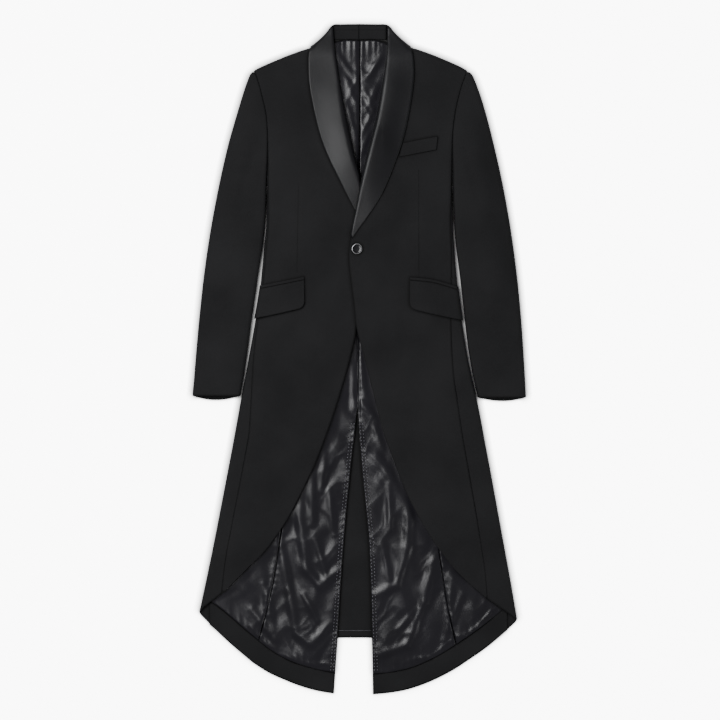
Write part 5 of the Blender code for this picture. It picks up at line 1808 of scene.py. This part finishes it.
@dataclass
class Trim:
    """The pieces that belong to neither side: underlap, welt and button."""

    shop: MaterialShop

    def sew_centre(self) -> None:
        """Close the seams down the middle of the lining and of the collar's stand."""
        lining = []
        for y in np.linspace(628.0, -120.0, 60):
            z = back_rise(0.0, y, LINED_MARGIN) + WOOL + SEAM + LINING - 0.35
            lining.append((0.0, y * METRE, z * METRE))
        SeamThread("lining_centre_seam", lining, 0.0005, LINING_SATIN).make(self.shop)
        hem = [(x * METRE, -0.5426, (TRIM + 0.05) * METRE) for x in np.linspace(-63.0, 47.0, 12)]
        SeamThread("underlap_hem_stitch", hem, 0.0004, PALE_PAINTED_SILK_THREAD).make(self.shop)
        for name, rows in (("collar_stand_seam", CoatSide("left").stand_grid()),
                           ("collar_fall_seam", CoatSide("left").fall_grid())):
            first = [min(row, key=lambda p: abs(p[0])) for row in rows]
            if abs(first[0][0] - first[-1][0]) > 0.002:
                first = min((rows[0], rows[-1]), key=lambda row: abs(row[0][0]))
            edge = sorted(((0.0, p[1], max(p[2] - 0.0008, 0.0005)) for p in first),
                          key=lambda p: p[1])
            SeamThread(name, edge, 0.0005, WORSTED_TWILL).make(self.shop)

    def make(self) -> None:
        """Build the underlap and the welt, and finish the button."""
        self.sew_centre()
        ClothPanel("vent_underlap", underlap_grid(), TRIM, WORSTED_TWILL).make(self.shop)
        ClothPanel("breast_welt", welt_grid(), TRIM, WORSTED_TWILL, spacing=0.002,
                   relief=welt_relief, rests_on=("front_left",)).make(self.shop)
        for node, finish in (("button_rim", POLISHED_STEEL), ("button_face", BLACK_RESIN)):
            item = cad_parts[node]
            item.data.materials.clear()
            item.data.materials.append(self.shop.hard(finish))
            LOG.info("%s: %s", node, finish.name)


@dataclass(frozen=True)
class SoftLight:
    """A large soft lamp, in metres and watts, aimed at the coat."""

    name: str
    place: Point3
    size: float
    power: float


LIGHTS = (
    SoftLight("key_upper_left", (-1.35, 0.95, 3.0), 1.5, 60.0),
    SoftLight("strip_left", (-0.95, -0.15, 3.1), 0.7, 9.0),
    SoftLight("fill_low_right", (2.6, -1.2, 1.3), 1.2, 12.0),
)


@dataclass(frozen=True)
class Studio:
    """The pale floor, the lamps and the camera straight above."""

    height: float = 6.0
    view: float = 1.44
    centre: Point2 = (0.002, -0.0016)
    floor_half: float = 6.0
    floor_drop: float = 0.0002
    floor_glow: float = 9.0
    painted_shadow_reach: float = 0.015
    painted_shadow_depth: float = 5.0
    world_light: float = 0.14

    def make_floor(self) -> bpy.types.Object:
        """Make the white floor, evenly glowing, with a painted contact shadow close to the coat.

        Returns:
            The floor.
        """
        half, low = self.floor_half, -self.floor_drop
        corners = [(-half, -half, low), (half, -half, low), (half, half, low), (-half, half, low)]
        floor = new_piece("floor", corners, [(0, 1, 2, 3)])
        material = bpy.data.materials.new("paper_white")
        material.use_nodes = True
        tree = material.node_tree
        shader = tree.nodes["Principled BSDF"]
        shader.inputs["Base Color"].default_value = srgb("#f4f4f4")
        shader.inputs["Roughness"].default_value = 0.9
        shader.inputs["Emission Color"].default_value = (1.0, 1.0, 1.0, 1.0)
        seen = MaterialShop.add_node(tree, "ShaderNodeLightPath")
        # Painted contact shadow: ambient occlusion near the coat dims the floor's glow.
        near = MaterialShop.add_node(tree, "ShaderNodeAmbientOcclusion",
                                     {":Distance": self.painted_shadow_reach, "samples": 12})
        shade = MaterialShop.add_node(tree, "ShaderNodeMath", {"operation": "POWER"},
                                      {"Value": near.outputs["AO"]})
        shade.inputs[1].default_value = self.painted_shadow_depth
        glow = MaterialShop.add_node(tree, "ShaderNodeMath", {"operation": "MULTIPLY"},
                                     {"Value": seen.outputs["Is Camera Ray"]})
        tree.links.new(shade.outputs[0], glow.inputs[1])
        bright = MaterialShop.add_node(tree, "ShaderNodeMath", {"operation": "MULTIPLY"},
                                       {"Value": glow.outputs[0]})
        bright.inputs[1].default_value = self.floor_glow
        tree.links.new(bright.outputs[0], shader.inputs["Emission Strength"])
        floor.data.materials.append(material)
        return floor

    def make(self) -> None:
        """Set up the floor, lamps, world and camera."""
        self.make_floor()
        for light in LIGHTS:
            data = bpy.data.lights.new(light.name, "AREA")
            data.size = light.size
            data.energy = light.power
            lamp = bpy.data.objects.new(light.name, data)
            lamp.location = light.place
            aim = Vector((0.0, 0.0, 0.0)) - Vector(light.place)
            lamp.rotation_euler = aim.to_track_quat("-Z", "Y").to_euler()
            bpy.context.scene.collection.objects.link(lamp)
        world = bpy.data.worlds.new("studio_white")
        bpy.context.scene.world = world
        world.use_nodes = True
        background = world.node_tree.nodes["Background"]
        background.inputs["Color"].default_value = (1.0, 1.0, 1.0, 1.0)
        background.inputs["Strength"].default_value = self.world_light
        data = bpy.data.cameras.new("camera")
        data.sensor_width = 36.0
        data.lens = 36.0 * self.height / self.view
        camera = bpy.data.objects.new("camera", data)
        camera.location = (*self.centre, self.height)
        bpy.context.scene.collection.objects.link(camera)
        bpy.context.scene.camera = camera


@dataclass
class Tailcoat:
    """The whole coat, from its two sides and its trim."""

    shop: MaterialShop = field(default_factory=MaterialShop)

    def make(self) -> None:
        """Build the coat."""
        for name in ("right", "left"):
            HalfCoat(CoatSide(name), self.shop).make()
        Trim(self.shop).make()


def main() -> None:
    """Build the studio and the coat, and note their sizes."""
    logging.basicConfig(level=logging.INFO, format="%(name)s %(message)s")
    Studio().make()
    Tailcoat().make()


if __name__ == "__main__":
    main()
